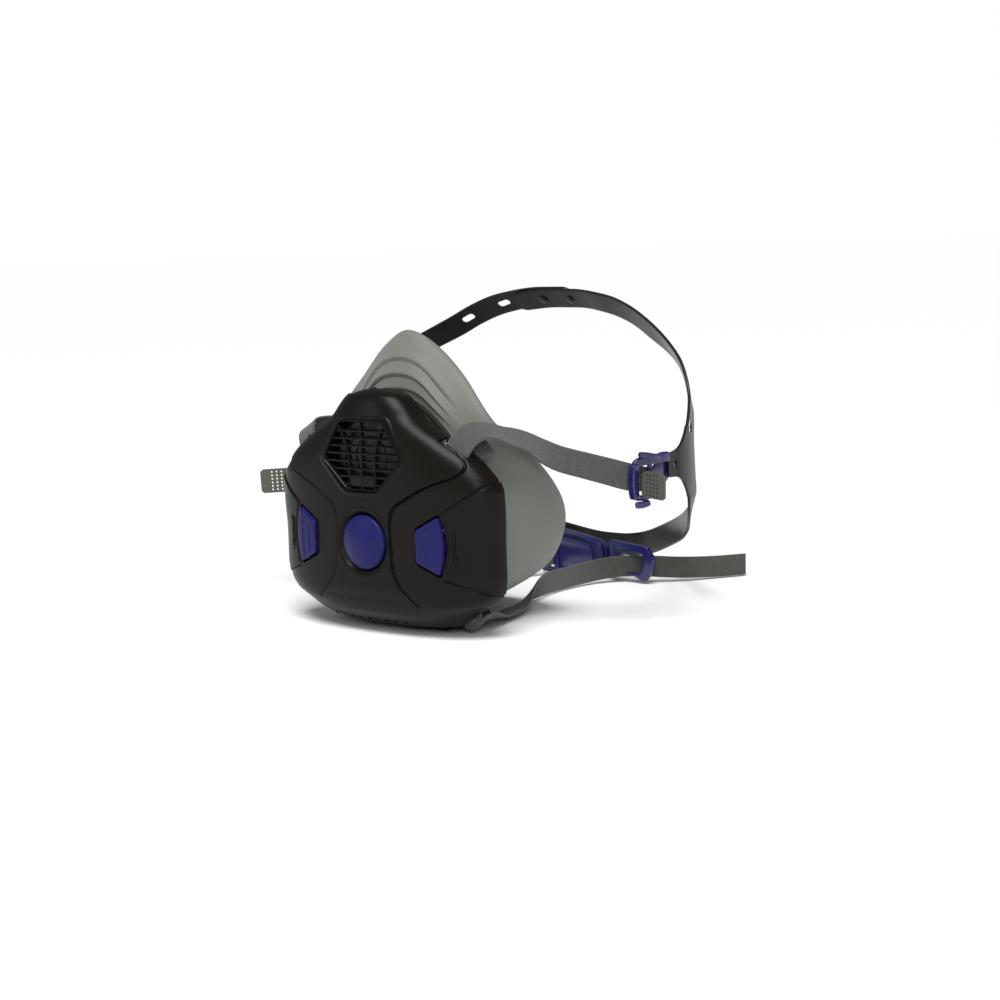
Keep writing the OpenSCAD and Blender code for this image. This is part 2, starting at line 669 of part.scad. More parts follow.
module right_neck_strap() {
    color(webbing) ribbon(NECK_RIGHT, NECK_RIGHT_DIR, lower_w, web_t, n = 3);
}

module neck_clip_frame() {
    color(blue) difference() {
        slab_y([[21.5, 0.6], [42, 0.4], [47.5, 4.5], [50, 13], [45.5, 19.4], [21.5, 21.8]],
            clip_y, clip_y + 3);
        slab_y([[26.5, 1.9], [40.5, 1.9], [43.5, 15.5], [26.5, 17.6]], clip_y - 1, clip_y + 4);
    }
}

module neck_clip_hook() {
    color(blue) {
        difference() {
            slab_y([[-24, 1.2], [6, 1.2], [19.6, 5], [19.6, 21.6], [-8, 25.4], [-24, 20]],
                clip_y, clip_y + 3);
            slab_y([[-20.5, 3.6], [-15.5, 3.6], [-15.5, 17], [-20.5, 17]], clip_y - 1, clip_y + 4);
        }
        box([14, clip_y + 2.5, 6], [19.6, clip_y + 5, 15]);
        box([19, clip_y + 3.4, 6], [28.5, clip_y + 5, 15]);
        box([26.9, clip_y + 0.6, 6], [28.5, clip_y + 5, 15]);
    }
}

// ---- what is drawn --------------------------------------------------------------------------------

front_housing();
base_plate();
centre_panel();
grille();
speaking_diaphragm();
diaphragm_ring();
seal_check_button();
shutter_yoke();
seal_check_spring();
release_button(false);  // left_release_button
release_button(true);  // right_release_button
release_spring(false);  // left_release_spring
release_spring(true);  // right_release_spring
inner_body();
inhalation_seat(false);  // left_inhalation_seat
inhalation_seat(true);  // right_inhalation_seat
inhalation_flap(false);  // left_inhalation_flap
inhalation_flap(true);  // right_inhalation_flap
exhalation_seat();
exhalation_flap();
exhaust_cover();
port_socket(false);  // left_port_socket
port_socket(true);  // right_port_socket
port_gasket(false);  // left_port_gasket
port_gasket(true);  // right_port_gasket
face_seal();
seal_clamp_ring();
anchor_bar(upper_bar, upper_bar_dir, upper_w);  // left_upper_anchor
other_side(true)  // right_upper_anchor
    anchor_bar(upper_bar, upper_bar_dir, upper_w);
strap_loop(upper_bar, upper_bar_dir, upper_w, knit);  // left_upper_loop
other_side(true)  // right_upper_loop
    strap_loop(upper_bar, upper_bar_dir, upper_w, knit);
upper_strap(false);  // left_upper_strap
upper_strap(true);  // right_upper_strap
upper_buckle(false);  // left_upper_buckle
upper_buckle(true);  // right_upper_buckle
strap_tab(false);  // left_strap_tab
strap_tab(true);  // right_strap_tab
left_crown_strap();
right_crown_strap();
crown_pegs();
occipital_band();
cradle_plate(false);  // left_cradle_plate
cradle_plate(true);  // right_cradle_plate
anchor_bar(lower_bar, lower_bar_dir, lower_w);  // left_lower_anchor
other_side(true)  // right_lower_anchor
    anchor_bar(lower_bar, lower_bar_dir, lower_w);
strap_loop(lower_bar, lower_bar_dir, lower_w, webbing);  // left_lower_loop
other_side(true)  // right_lower_loop
    strap_loop(lower_bar, lower_bar_dir, lower_w, webbing);
left_neck_strap();
right_neck_strap();
neck_clip_frame();
neck_clip_hook();
screw_posts();
housing_screws();
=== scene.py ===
"""Visual model of a half-mask respirator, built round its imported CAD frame. Sizes below are millimetres."""

import math

import bmesh
import bpy
import numpy as np
from mathutils import Matrix, Vector


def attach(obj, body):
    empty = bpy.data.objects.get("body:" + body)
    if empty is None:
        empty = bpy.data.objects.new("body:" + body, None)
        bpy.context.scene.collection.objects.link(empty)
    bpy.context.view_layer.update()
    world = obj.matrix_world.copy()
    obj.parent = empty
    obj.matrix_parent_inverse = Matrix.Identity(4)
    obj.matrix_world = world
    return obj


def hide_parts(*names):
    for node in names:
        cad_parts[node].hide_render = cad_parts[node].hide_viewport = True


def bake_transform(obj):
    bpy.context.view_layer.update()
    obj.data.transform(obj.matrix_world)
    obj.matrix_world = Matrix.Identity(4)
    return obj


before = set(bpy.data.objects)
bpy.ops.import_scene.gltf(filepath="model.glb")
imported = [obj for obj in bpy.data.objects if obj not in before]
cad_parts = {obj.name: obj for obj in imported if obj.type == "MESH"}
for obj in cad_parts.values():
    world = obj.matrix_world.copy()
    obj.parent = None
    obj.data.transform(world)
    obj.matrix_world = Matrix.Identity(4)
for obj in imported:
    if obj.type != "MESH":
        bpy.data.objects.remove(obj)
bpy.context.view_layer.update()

MM = 0.001
SIDES = ((1, "left"), (-1, "right"))
SCENE = bpy.context.scene


# ---- camera, light and floor ----


def make_camera():
    turn, rise, roll = math.radians(38.84), math.radians(8.0), math.radians(-1.94)
    target, distance = Vector((73.1, -19.5, 66.7)), 837.1
    back = Vector((math.sin(turn) * math.cos(rise), -math.cos(turn) * math.cos(rise), math.sin(rise)))
    right = Vector((math.cos(turn), math.sin(turn), 0))
    up = back.cross(right)
    right, up = right * math.cos(roll) + up * math.sin(roll), up * math.cos(roll) - right * math.sin(roll)
    data = bpy.data.cameras.new("camera")
    data.sensor_width = 36
    data.lens = 67.06
    cam = bpy.data.objects.new("camera", data)
    facing = Matrix((right, up, back)).transposed().to_4x4()
    cam.matrix_world = Matrix.Translation((target + back * distance) * MM) @ facing
    SCENE.collection.objects.link(cam)
    SCENE.camera = cam


def area_light(name, at, aim, size, watts):
    data = bpy.data.lights.new(name, "AREA")
    data.shape = "RECTANGLE"
    data.size, data.size_y = size
    data.energy = watts
    lamp = bpy.data.objects.new(name, data)
    lamp.location = at
    lamp.rotation_euler = (Vector(aim) - Vector(at)).to_track_quat("-Z", "Y").to_euler()
    SCENE.collection.objects.link(lamp)


def make_studio():
    """White to look at, dimmer as a light, so that dark plastic stays dark; a broad overhead light
    whitens the floor."""
    world = bpy.data.worlds.new("studio")
    SCENE.world = world
    world.use_nodes = True
    tree = world.node_tree
    path = tree.nodes.new("ShaderNodeLightPath")
    level = tree.nodes.new("ShaderNodeMapRange")
    level.inputs[3].default_value, level.inputs[4].default_value = 0.20, 1.0
    tree.links.new(path.outputs["Is Camera Ray"], level.inputs[0])
    tree.nodes["Background"].inputs[0].default_value = (1, 1, 1, 1)
    tree.links.new(level.outputs[0], tree.nodes["Background"].inputs[1])
    data = bpy.data.lights.new("overhead", "SUN")
    data.energy, data.angle = 3.1, math.radians(32)
    sky = bpy.data.objects.new("overhead", data)
    sky.rotation_euler = Vector((-0.25, 0.42, -1)).to_track_quat("-Z", "Y").to_euler()
    SCENE.collection.objects.link(sky)
    area_light("key", (0.75, -0.75, 0.55), (0.03, 0, 0.06), (0.3, 0.5), 3.2)
    area_light("left", (-0.6, -0.9, 0.5), (0, 0, 0.05), (0.3, 0.5), 1.2)
    bpy.ops.mesh.primitive_plane_add(size=40, location=(0, 0, -0.0005))
    floor = bpy.context.object
    floor.name = "floor"
    floor.data.materials.append(material("floor_paper", (0.93, 0.93, 0.93), rough=0.95, grain=0.01,
        scale=80, bump=0.0, spec=0.1))
    SCENE.view_settings.view_transform = "Standard"


# ---- materials ----


class Nodes:
    """A short way to write node sums."""

    def __init__(self, mat):
        self.tree = mat.node_tree

    def new(self, kind, **settings):
        node = self.tree.nodes.new(kind)
        for key, value in settings.items():
            if hasattr(node, key):
                setattr(node, key, value)
            else:
                node.inputs[key.replace("_", " ")].default_value = value
        return node

    def put(self, socket, value):
        if isinstance(value, (int, float, tuple)):
            socket.default_value = value
        else:
            self.tree.links.new(value, socket)

    def math(self, op, a, b=None, c=None):
        node = self.new("ShaderNodeMath", operation=op)
        for i, value in enumerate((a, b, c)):
            if value is not None:
                self.put(node.inputs[i], value)
        return node.outputs[0]

    def mix(self, factor, a, b):
        node = self.new("ShaderNodeMix", data_type="RGBA")
        for i, value in ((0, factor), (6, a), (7, b)):
            self.put(node.inputs[i], value)
        return node.outputs[2]

    def noise(self, where, scale, detail=3, rough=0.6):
        node = self.new("ShaderNodeTexNoise", Scale=scale, Detail=detail, Roughness=rough)
        self.put(node.inputs["Vector"], where)
        return node.outputs[0]

    def ramp(self, value, low, high):
        node = self.new("ShaderNodeMapRange")
        self.put(node.inputs[0], value)
        node.inputs[1].default_value, node.inputs[2].default_value = low, high
        return node.outputs[0]

    def bump(self, height, distance, strength=1.0, normal=None):
        node = self.new("ShaderNodeBump", Strength=strength, Distance=distance)
        self.put(node.inputs["Height"], height)
        if normal is not None:
            self.put(node.inputs["Normal"], normal)
        return node.outputs[0]


def tint(colour, k):
    return tuple(min(1, c * k) for c in colour) + (1,)


def material(name, colour, rough=0.5, grain=0.12, scale=900, bump=0.05, wear=0.0, sheen=0.0, coat=0.0,
        soft=0.0, spec=0.5, weave=None, metal=0.0):
    """Colour with drift, moulded grain, rubbed edges and, for webbing, a weave that runs along the band."""
    mat = bpy.data.materials.new(name)
    mat.use_nodes = True
    n = Nodes(mat)
    shader = mat.node_tree.nodes["Principled BSDF"]
    here = n.new("ShaderNodeTexCoord").outputs["Object"]
    drift = n.noise(here, 40, 2)
    fine = n.noise(here, scale, 4)
    base = n.mix(n.ramp(drift, 0.3, 0.7), tint(colour, 1 - grain), tint(colour, 1 + grain))
    base = n.mix(n.ramp(fine, 0.35, 0.75), base, tint(colour, 1 + 1.6 * grain))
    normal = n.bump(fine, 0.0002, bump)
    roughness = n.math("MULTIPLY_ADD", drift, 0.16, rough - 0.08)
    if weave:
        base, normal, roughness = woven(n, here, colour, weave, rough)
    if wear:
        edge = n.ramp(n.new("ShaderNodeNewGeometry").outputs["Pointiness"], 0.53, 0.6)
        patchy = n.math("MULTIPLY", edge, n.ramp(n.noise(here, 160, 3), 0.35, 0.65))
        base = n.mix(n.math("MULTIPLY", patchy, wear), base, tint(colour, 2.6))
    inputs = {"Base Color": base, "Roughness": roughness, "Normal": normal, "Metallic": metal,
        "Specular IOR Level": spec, "Sheen Weight": sheen, "Sheen Roughness": 0.6, "Coat Weight": coat,
        "Coat Roughness": 0.12}
    if soft:
        inputs.update({"Subsurface Weight": soft, "Subsurface Radius": (0.004, 0.004, 0.003),
            "Subsurface Scale": 0.5})
    for socket, value in inputs.items():
        n.put(shader.inputs[socket], value)
    return mat


def woven(n, here, colour, weave, rough):
    """Yarns from the band's own coordinates: x is millimetres along, y millimetres across."""
    split = n.new("ShaderNodeSeparateXYZ")
    n.put(split.inputs[0], n.new("ShaderNodeUVMap").outputs[0])
    along, across = split.outputs[0], split.outputs[1]
    course, wale, slant = weave
    rib = n.math("PINGPONG", across, wale / 2)
    row = n.math("MULTIPLY_ADD", rib, slant, along)
    loops = n.math("SINE", n.math("MULTIPLY", row, 2 * math.pi / course))
    ribs = n.math("SINE", n.math("MULTIPLY", rib, 2 * math.pi / wale))
    height = n.math("MULTIPLY", n.math("MULTIPLY_ADD", loops, 0.5, 0.5), ribs)
    fuzz = n.noise(here, 2600, 4, 0.7)
    heather = n.new("ShaderNodeTexVoronoi", Scale=1500.0)
    n.put(heather.inputs["Vector"], here)
    flecks = n.new("ShaderNodeSeparateColor")
    n.put(flecks.inputs[0], heather.outputs["Color"])
    # Painted shade: the yarn colour falls to 0.45 of itself in the valleys of the relief and rises to 1.12, a
    # little painted light, on the loop tops, following the same height that drives the bump.
    base = n.mix(n.ramp(height, 0.0, 0.85), tint(colour, 0.45), tint(colour, 1.12))
    base = n.mix(n.math("MULTIPLY", n.ramp(flecks.outputs[0], 0.55, 0.95), 0.35), base, tint(colour, 1.7))
    base = n.mix(n.math("MULTIPLY", n.ramp(fuzz, 0.5, 0.8), 0.5), base, tint(colour, 0.6))
    normal = n.bump(height, 0.0003, 0.8, n.bump(fuzz, 0.0002, 0.4))
    return base, normal, rough


HOUSING = material("housing_black", (0.0062, 0.0051, 0.0038), rough=0.33, grain=0.10, scale=2600,
    bump=0.07, wear=0.10, spec=0.13)
INSERT = material("inner_black", (0.012, 0.0115, 0.0105), rough=0.5, grain=0.12, scale=2200, bump=0.1)
BLUE = material("blue_matte", (0.0100, 0.0100, 0.0850), rough=0.38, grain=0.08, scale=2400, bump=0.06,
    wear=0.06, spec=0.16)
GLOSS = material("blue_gloss", (0.0110, 0.0110, 0.0850), rough=0.24, grain=0.06, scale=1800, bump=0.03,
    coat=0.35)
SEAL = material("seal_silicone", (0.136, 0.148, 0.126), rough=0.62, grain=0.04, scale=1600, bump=0.10,
    sheen=0.15, soft=0.12)
KNIT = material("upper_knit", (0.060, 0.061, 0.056), rough=0.9, sheen=0.3, weave=(0.7, 0.7, 0.8))
WEB = material("neck_webbing", (0.043, 0.043, 0.034), rough=0.85, sheen=0.3, weave=(0.75, 1.1, 0.5))
TAB = material("strap_tab_rubber", (0.082, 0.082, 0.067), rough=0.7, grain=0.06, scale=2000, bump=0.15)
CRADLE = material("cradle_black", (0.0080, 0.0078, 0.0062), rough=0.34, grain=0.12, scale=1500, bump=0.08,
    wear=0.06, spec=0.3)
FILM = material("diaphragm_film", (0.008, 0.008, 0.008), rough=0.34, grain=0.05, scale=400, bump=0.03,
    coat=0.1)
STEEL = material("spring_steel", (0.62, 0.63, 0.65), rough=0.3, metal=1.0, grain=0.05, scale=3000)
SEAT = material("valve_seat", (0.5, 0.49, 0.44), rough=0.45, grain=0.04, scale=1800, bump=0.05)
FLAP = material("valve_flap", (0.6, 0.5, 0.3), rough=0.35, grain=0.05, scale=900, soft=0.2)
GASKET = material("gasket", (0.03, 0.03, 0.03), rough=0.75, grain=0.1, scale=2000, bump=0.1)


# ---- shapes ----


def vec(*v):
    return np.array(v, float)


def unit(v):
    v = np.asarray(v, float)
    return v / np.maximum(np.linalg.norm(v, axis=-1, keepdims=True), 1e-9)


def flip(points):
    return [[-p[0]] + list(p[1:]) for p in points]


def curve(keys, n, closed=False):
    """Points on the smooth curve through the keys, n to a span."""
    k = np.array(keys, float)
    m = len(k)
    spans = m if closed else m - 1
    out = []
    for i in range(spans):
        a, b, c, d = (k[j % m] if closed else k[min(max(j, 0), m - 1)] for j in (i - 1, i, i + 1, i + 2))
        for f in np.arange(n) / n:
            out.append(0.5 * (2 * b + (c - a) * f + (2 * a - 5 * b + 4 * c - d) * f**2
                + (3 * b - a - 3 * c + d) * f**3))
    if not closed:
        out.append(k[-1])
    return np.array(out)


def hermite(x, xs, ys):
    """A smooth run through a table without overshoot."""
    xs, ys, x = (np.asarray(v, float) for v in (xs, ys, x))
    step, rise = np.diff(xs), np.diff(ys) / np.diff(xs)
    slope = np.zeros(len(xs))
    same = rise[:-1] * rise[1:] > 0
    slope[1:-1][same] = 2 * rise[:-1][same] * rise[1:][same] / (rise[:-1] + rise[1:])[same]
    slope[0], slope[-1] = rise[0], rise[-1]
    x = np.clip(x, xs[0], xs[-1])
    i = np.clip(np.searchsorted(xs, x) - 1, 0, len(step) - 1)
    t, h = (x - xs[i]) / step[i], step[i]
    return ((2 * t**3 - 3 * t**2 + 1) * ys[i] + (t**3 - 2 * t**2 + t) * h * slope[i]
        + (3 * t**2 - 2 * t**3) * ys[i + 1] + (t**3 - t**2) * h * slope[i + 1])


def ease(x, low, high):
    t = np.clip((np.asarray(x, float) - low) / (high - low), 0, 1)
    return t * t * (3 - 2 * t)


def build(name, verts, faces, mat, body=None, sharp=35, uv=None):
    mesh = bpy.data.meshes.new(name)
    mesh.from_pydata((np.asarray(verts, float) * MM).tolist(), [],
        [tuple(int(i) for i in f) for f in faces])
    mesh.validate()
    bm = bmesh.new()
    bm.from_mesh(mesh)
    bmesh.ops.recalc_face_normals(bm, faces=bm.faces)
    if uv is not None:
        layer = bm.loops.layers.uv.new("band")
        for face in bm.faces:
            for loop in face.loops:
                loop[layer].uv = uv[loop.vert.index]
    bm.to_mesh(mesh)
    bm.free()
    obj = bpy.data.objects.new(name, mesh)
    SCENE.collection.objects.link(obj)
    mesh.materials.append(mat)
    smooth(obj, sharp)
    if body:
        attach(obj, body)
    return obj


def label(obj, slot, *nodes, body=None):
    """Hides the CAD nodes that obj stands for, and rides it on a body; slot, the name of its finish, is not
    used.
    """
    if body:
        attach(obj, body)
    if nodes:
        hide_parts(*nodes)


def smooth(obj, sharp=35):
    mesh = obj.data
    mesh.polygons.foreach_set("use_smooth", np.ones(len(mesh.polygons), bool))
    mesh.set_sharp_from_angle(angle=math.radians(sharp))
    mesh.update()


def bake(obj, sharp=35):
    """Applies the modifiers."""
    graph = bpy.context.evaluated_depsgraph_get()
    mesh = bpy.data.meshes.new_from_object(obj.evaluated_get(graph))
    obj.modifiers.clear()
    obj.data = mesh
    smooth(obj, sharp)


def bevel(obj, width, segments=3, angle=30):
    mod = obj.modifiers.new("bevel", "BEVEL")
    mod.width, mod.segments = width * MM, segments
    mod.limit_method, mod.angle_limit = "ANGLE", math.radians(angle)
    mod.harden_normals = False
    bake(obj, 40)


def cut(obj, cutters, sharp=35):
    """Takes the cutters out of obj."""
    merged = bmesh.new()
    for c in cutters:
        merged.from_mesh(c.data)
    mesh = bpy.data.meshes.new("cutter")
    merged.to_mesh(mesh)
    merged.free()
    tool = bpy.data.objects.new("cutter", mesh)
    SCENE.collection.objects.link(tool)
    mod = obj.modifiers.new("cut", "BOOLEAN")
    mod.operation, mod.object, mod.solver = "DIFFERENCE", tool, "EXACT"
    bpy.context.view_layer.update()
    bake(obj, sharp)
    for c in list(cutters) + [tool]:
        bpy.data.objects.remove(c)


def grid_faces(rows, cols, wrap_rows=False, wrap_cols=False, start=0):
    r, c = np.meshgrid(np.arange(rows if wrap_rows else rows - 1),
        np.arange(cols if wrap_cols else cols - 1), indexing="ij")
    r2, c2 = (r + 1) % rows, (c + 1) % cols
    return (np.stack([r * cols + c, r * cols + c2, r2 * cols + c2, r2 * cols + c], -1).reshape(-1, 4)
        + start).tolist()


def tube(name, rings, mat, body=None, closed=False, uv=None, sharp=35):
    """A skin through rings of equal length."""
    rings = np.asarray(rings, float)
    m, n = rings.shape[:2]
    faces = grid_faces(m, n, closed, True)
    if not closed:
        faces += [list(range(n))[::-1], list(range((m - 1) * n, m * n))]
    return build(name, rings.reshape(-1, 3), faces, mat, body, sharp, uv)


def sheet(name, top, low, mat, sharp=35):
    """A closed shell between two grids of points."""
    m, k = top.shape[:2]
    faces = grid_faces(m, k) + [f[::-1] for f in grid_faces(m, k, start=m * k)]
    edge = [i * k for i in range(m)] + [(m - 1) * k + j for j in range(1, k)]
    edge += [i * k + k - 1 for i in range(m - 2, -1, -1)] + list(range(k - 2, 0, -1))
    faces += [[a, b, b + m * k, a + m * k] for a, b in zip(edge, edge[1:] + edge[:1])]
    return build(name, np.concatenate([top.reshape(-1, 3), low.reshape(-1, 3)]), faces, mat, sharp=sharp)


def frames(path, side):
    """Unit vectors along a path, across it and out of it."""
    path, side = np.asarray(path, float), np.asarray(side, float)
    ahead = np.empty_like(path)
    ahead[1:-1] = path[2:] - path[:-2]
    ahead[0], ahead[-1] = path[1] - path[0], path[-1] - path[-2]
    t = unit(ahead)
    w = unit(side - t * np.sum(side * t, 1)[:, None])
    return t, w, np.cross(t, w)


def lengths(path):
    return np.concatenate([[0], np.cumsum(np.linalg.norm(np.diff(path, axis=0), axis=1))])


def sample(stops, at, points):
    """Points at the stops, read off points that lie at the given lengths."""
    return np.stack([np.interp(stops, at, points[:, k]) for k in range(3)], 1)


def respace(path, side, step):
    s = lengths(path)
    at = np.linspace(0, s[-1], max(2, int(round(s[-1] / step)) + 1))
    return sample(at, s, path), sample(at, s, side), at


def band_section(width, thick, corner):
    """Rounded flat section as (across, out) pairs."""
    a, b, r = width / 2, thick / 2, min(corner, thick / 2 - 0.01)
    top = [(x, b) for x in np.linspace(a - r, -a + r, 13)]
    arc = lambda cx, cy, a0: [(cx + r * math.cos(math.radians(t)), cy + r * math.sin(math.radians(t)))
        for t in (a0 + 30, a0 + 60)]
    left = arc(-a + r, b - r, 90) + [(-a, 0)] + arc(-a + r, -b + r, 180)
    half = top + left
    return np.array(half + [(-x, -y) for x, y in half])


def band(name, path, side, width, thick, mat, body=None, corner=0.5, lift=0.0, round_ends=(0, 0),
        step=1.2, stretch=None):
    """A flat strap along a path. round_ends gives each end's radius, and stretch scales the width
    along it."""
    path, side, at = respace(np.asarray(path, float), np.asarray(side, float), step)
    total = at[-1]
    stops = list(at)
    for end, radius in enumerate(round_ends):
        if radius:
            near = [radius * (1 - math.cos(t)) for t in np.linspace(0.12, math.pi / 2, 9)]
            stops = [v for v in stops if (v if end == 0 else total - v) > radius]
            stops += near if end == 0 else [total - v for v in near]
    stops = np.array(sorted(stops))
    path, side = sample(stops, at, path), sample(stops, at, side)
    t, w, out = frames(path, side)
    scale = np.ones(len(stops))
    for end, radius in enumerate(round_ends):
        if radius:
            d = np.clip((stops if end == 0 else total - stops) / radius, 0, 1)
            arc = np.sqrt(np.clip(1 - (1 - d) ** 2, 0, 1))
            scale = np.minimum(scale, 1 - (radius / (width / 2)) * (1 - arc))
    if stretch is not None:
        scale = scale * stretch(stops)
    sec = band_section(width, thick, corner)
    rings = (path[:, None] + w[:, None] * (sec[None, :, :1] * scale[:, None, None])
        + out[:, None] * (sec[None, :, 1:] + lift))
    uv = [(s, a * k + width) for s, k in zip(stops, scale) for a in sec[:, 0]]
    return tube(name, rings, mat, body, uv=uv, sharp=50)


def prism(name, outline, axis, low, high, mat):
    """A flat outline of (x, z) points for axis y, or (y, z) for axis x, from low to high."""
    pts = np.array(outline, float)
    rings = []
    for level in (low, high):
        flat = np.full(len(pts), level)
        columns = (pts[:, 0], flat, pts[:, 1]) if axis == "y" else (flat, pts[:, 0], pts[:, 1])
        rings.append(np.stack(columns, 1))
    return tube(name, rings, mat)


def punch(outline, low, high):
    """A cutter along Y."""
    return prism("cutter", outline, "y", low, high, HOUSING)


def drill(a, b, radius, n=32):
    """A round cutter from a to b."""
    return rod("cutter", a, b, radius, HOUSING, n=n)


def rect(x0, z0, x1, z1):
    return [[x0, z0], [x1, z0], [x1, z1], [x0, z1]]


def rounded(outline, radius, n=5):
    """The outline with each corner rounded."""
    pts = np.array(outline, float)
    out = []
    for i, p in enumerate(pts):
        a, b = pts[i - 1] - p, pts[(i + 1) % len(pts)] - p
        ra = min(radius, np.linalg.norm(a) * 0.45, np.linalg.norm(b) * 0.45)
        start, end = p + unit(a) * ra, p + unit(b) * ra
        for t in np.linspace(0, 1, n):
            out.append((1 - t) ** 2 * start + 2 * t * (1 - t) * p + t * t * end)
    return out


def rod(name, a, b, radius, mat, body=None, n=32, profile=None):
    """A round bar from a to b; profile gives (share of the length, share of the radius) pairs."""
    a, b = np.array(a, float), np.array(b, float)
    d = unit(b - a)
    x = unit(np.cross(d, [0.3, 0.2, 0.9] if abs(d[2]) < 0.9 else [1, 0, 0]))
    y = np.cross(d, x)
    turn = np.linspace(0, 2 * math.pi, n, endpoint=False)
    circle = np.cos(turn)[:, None] * x + np.sin(turn)[:, None] * y
    rings = [a + (b - a) * t + radius * k * circle for t, k in profile or [(0, 1), (1, 1)]]
    return tube(name, rings, mat, body)


def lathe_y(name, profile, x, z, mat, body=None, n=96):
    """A turned shape about a line along Y: profile is (radius, y) pairs."""
    turn = np.linspace(0, 2 * math.pi, n, endpoint=False)
    rings = []
    for r, y in profile:
        r = max(r, 0.02)
        rings.append(np.stack([x + r * np.cos(turn), np.full(n, y), z + r * np.sin(turn)], 1))
    return tube(name, rings, mat, body)


# ---- housing ----

# Levels of the housing: height, half width, rear edge, front face.
HOUSE = np.array([[0.4, 31.5, 8, -8], [2.5, 39, 1, -18], [5, 43.5, -3, -23.5], [8, 48, -4.5, -28],
    [11, 52, -5.5, -30.5], [17, 62, -7, -32.3], [22, 65, -7.5, -32.6], [30, 66.2, -8, -32.4],
    [44, 66.2, -8, -32], [60, 67, -8.5, -31.8], [68, 67, -9, -31.6], [73, 65.5, -9.5, -31.5],
    [78.5, 61, -10.2, -31.4], [84, 55, -11, -31.3], [92, 42.5, -13, -31], [97, 34, -14, -30.5],
    [102.5, 26, -14, -29.8], [107, 22, -14, -28.8], [112, 16.5, -14, -26.8], [114.3, 9.5, -14, -24],
    [115.3, 4, -14.5, -21]])
PANEL = np.array([[13, 34], [18.9, 26.9], [24.4, 21.2], [31.4, 17.9], [46, 16.6], [56, 16.8], [61, 19],
    [65, 25], [69, 32], [73, 41], [77, 52], [80, 54.5], [83.5, 52.5], [92, 40], [97, 32], [102.5, 24.4],
    [107, 20.6], [112, 15.3]])
GRILLE = [[14.3, 101.3], [25.4, 83], [9.8, 67.7]]
BUTTON_Z, BUTTON_R = 43.7, 13.0
RELEASE = [[31.9, 51.4], [43.6, 58], [45.6, 51], [46.1, 44.5], [45.7, 38], [43.9, 30.9], [32, 36.4]]
WING_UPPER = [[44.6, 59.3], [48.7, 62.2], [54.8, 66.2], [61.2, 70.7], [67, 74.6]]
WING_LOWER = [[45.2, 28.9], [52.8, 26.4], [60.3, 23.4], [67, 18.4]]
# The bars that the straps wrap round.
UPPER_BAR, UPPER_AXIS = vec(46.5, -14.5, 88.3), vec(0.87, 0, -0.49)
LOWER_BAR, LOWER_AXIS = vec(46.6, -5.5, 7.6), vec(0.82, 0, 0.57)


def skin(z, s, d=0.0):
    """A point on the housing, moved out by -d; s runs from -1 to 1 across the face."""
    z, s = np.broadcast_arrays(np.asarray(z, float), np.asarray(s, float))
    w, rear, front = (hermite(z, HOUSE[:, 0], HOUSE[:, k]) for k in (1, 2, 3))
    a = np.pi / 2 * s
    return np.stack([np.sign(s) * (w - d) * np.abs(np.sin(a)) ** 0.8,
        rear - (rear - front - d) * np.clip(np.cos(a), 0, 1) ** 0.8, z], -1)


def skin_s(z, x):
    w = hermite(z, HOUSE[:, 0], HOUSE[:, 1])
    return np.sign(x) * np.arcsin(np.clip(np.abs(x) / w, 0, 1) ** 1.25) * 2 / np.pi


def near_line(x, z, line):
    """Distance in the face plane from points to a run of straight pieces."""
    best = np.full(np.shape(x), 1e9)
    for (x0, z0), (x1, z1) in zip(line[:-1], line[1:]):
        dx, dz = x1 - x0, z1 - z0
        t = np.clip(((x - x0) * dx + (z - z0) * dz) / (dx * dx + dz * dz), 0, 1)
        best = np.minimum(best, np.hypot(x - x0 - t * dx, z - z0 - t * dz))
    return best


def house_normal(p):
    du, dv = np.gradient(p, axis=0), np.gradient(p, axis=1)
    n = unit(np.cross(dv, du))
    return n * np.sign(np.sum(n[..., 1] * -1) or 1)


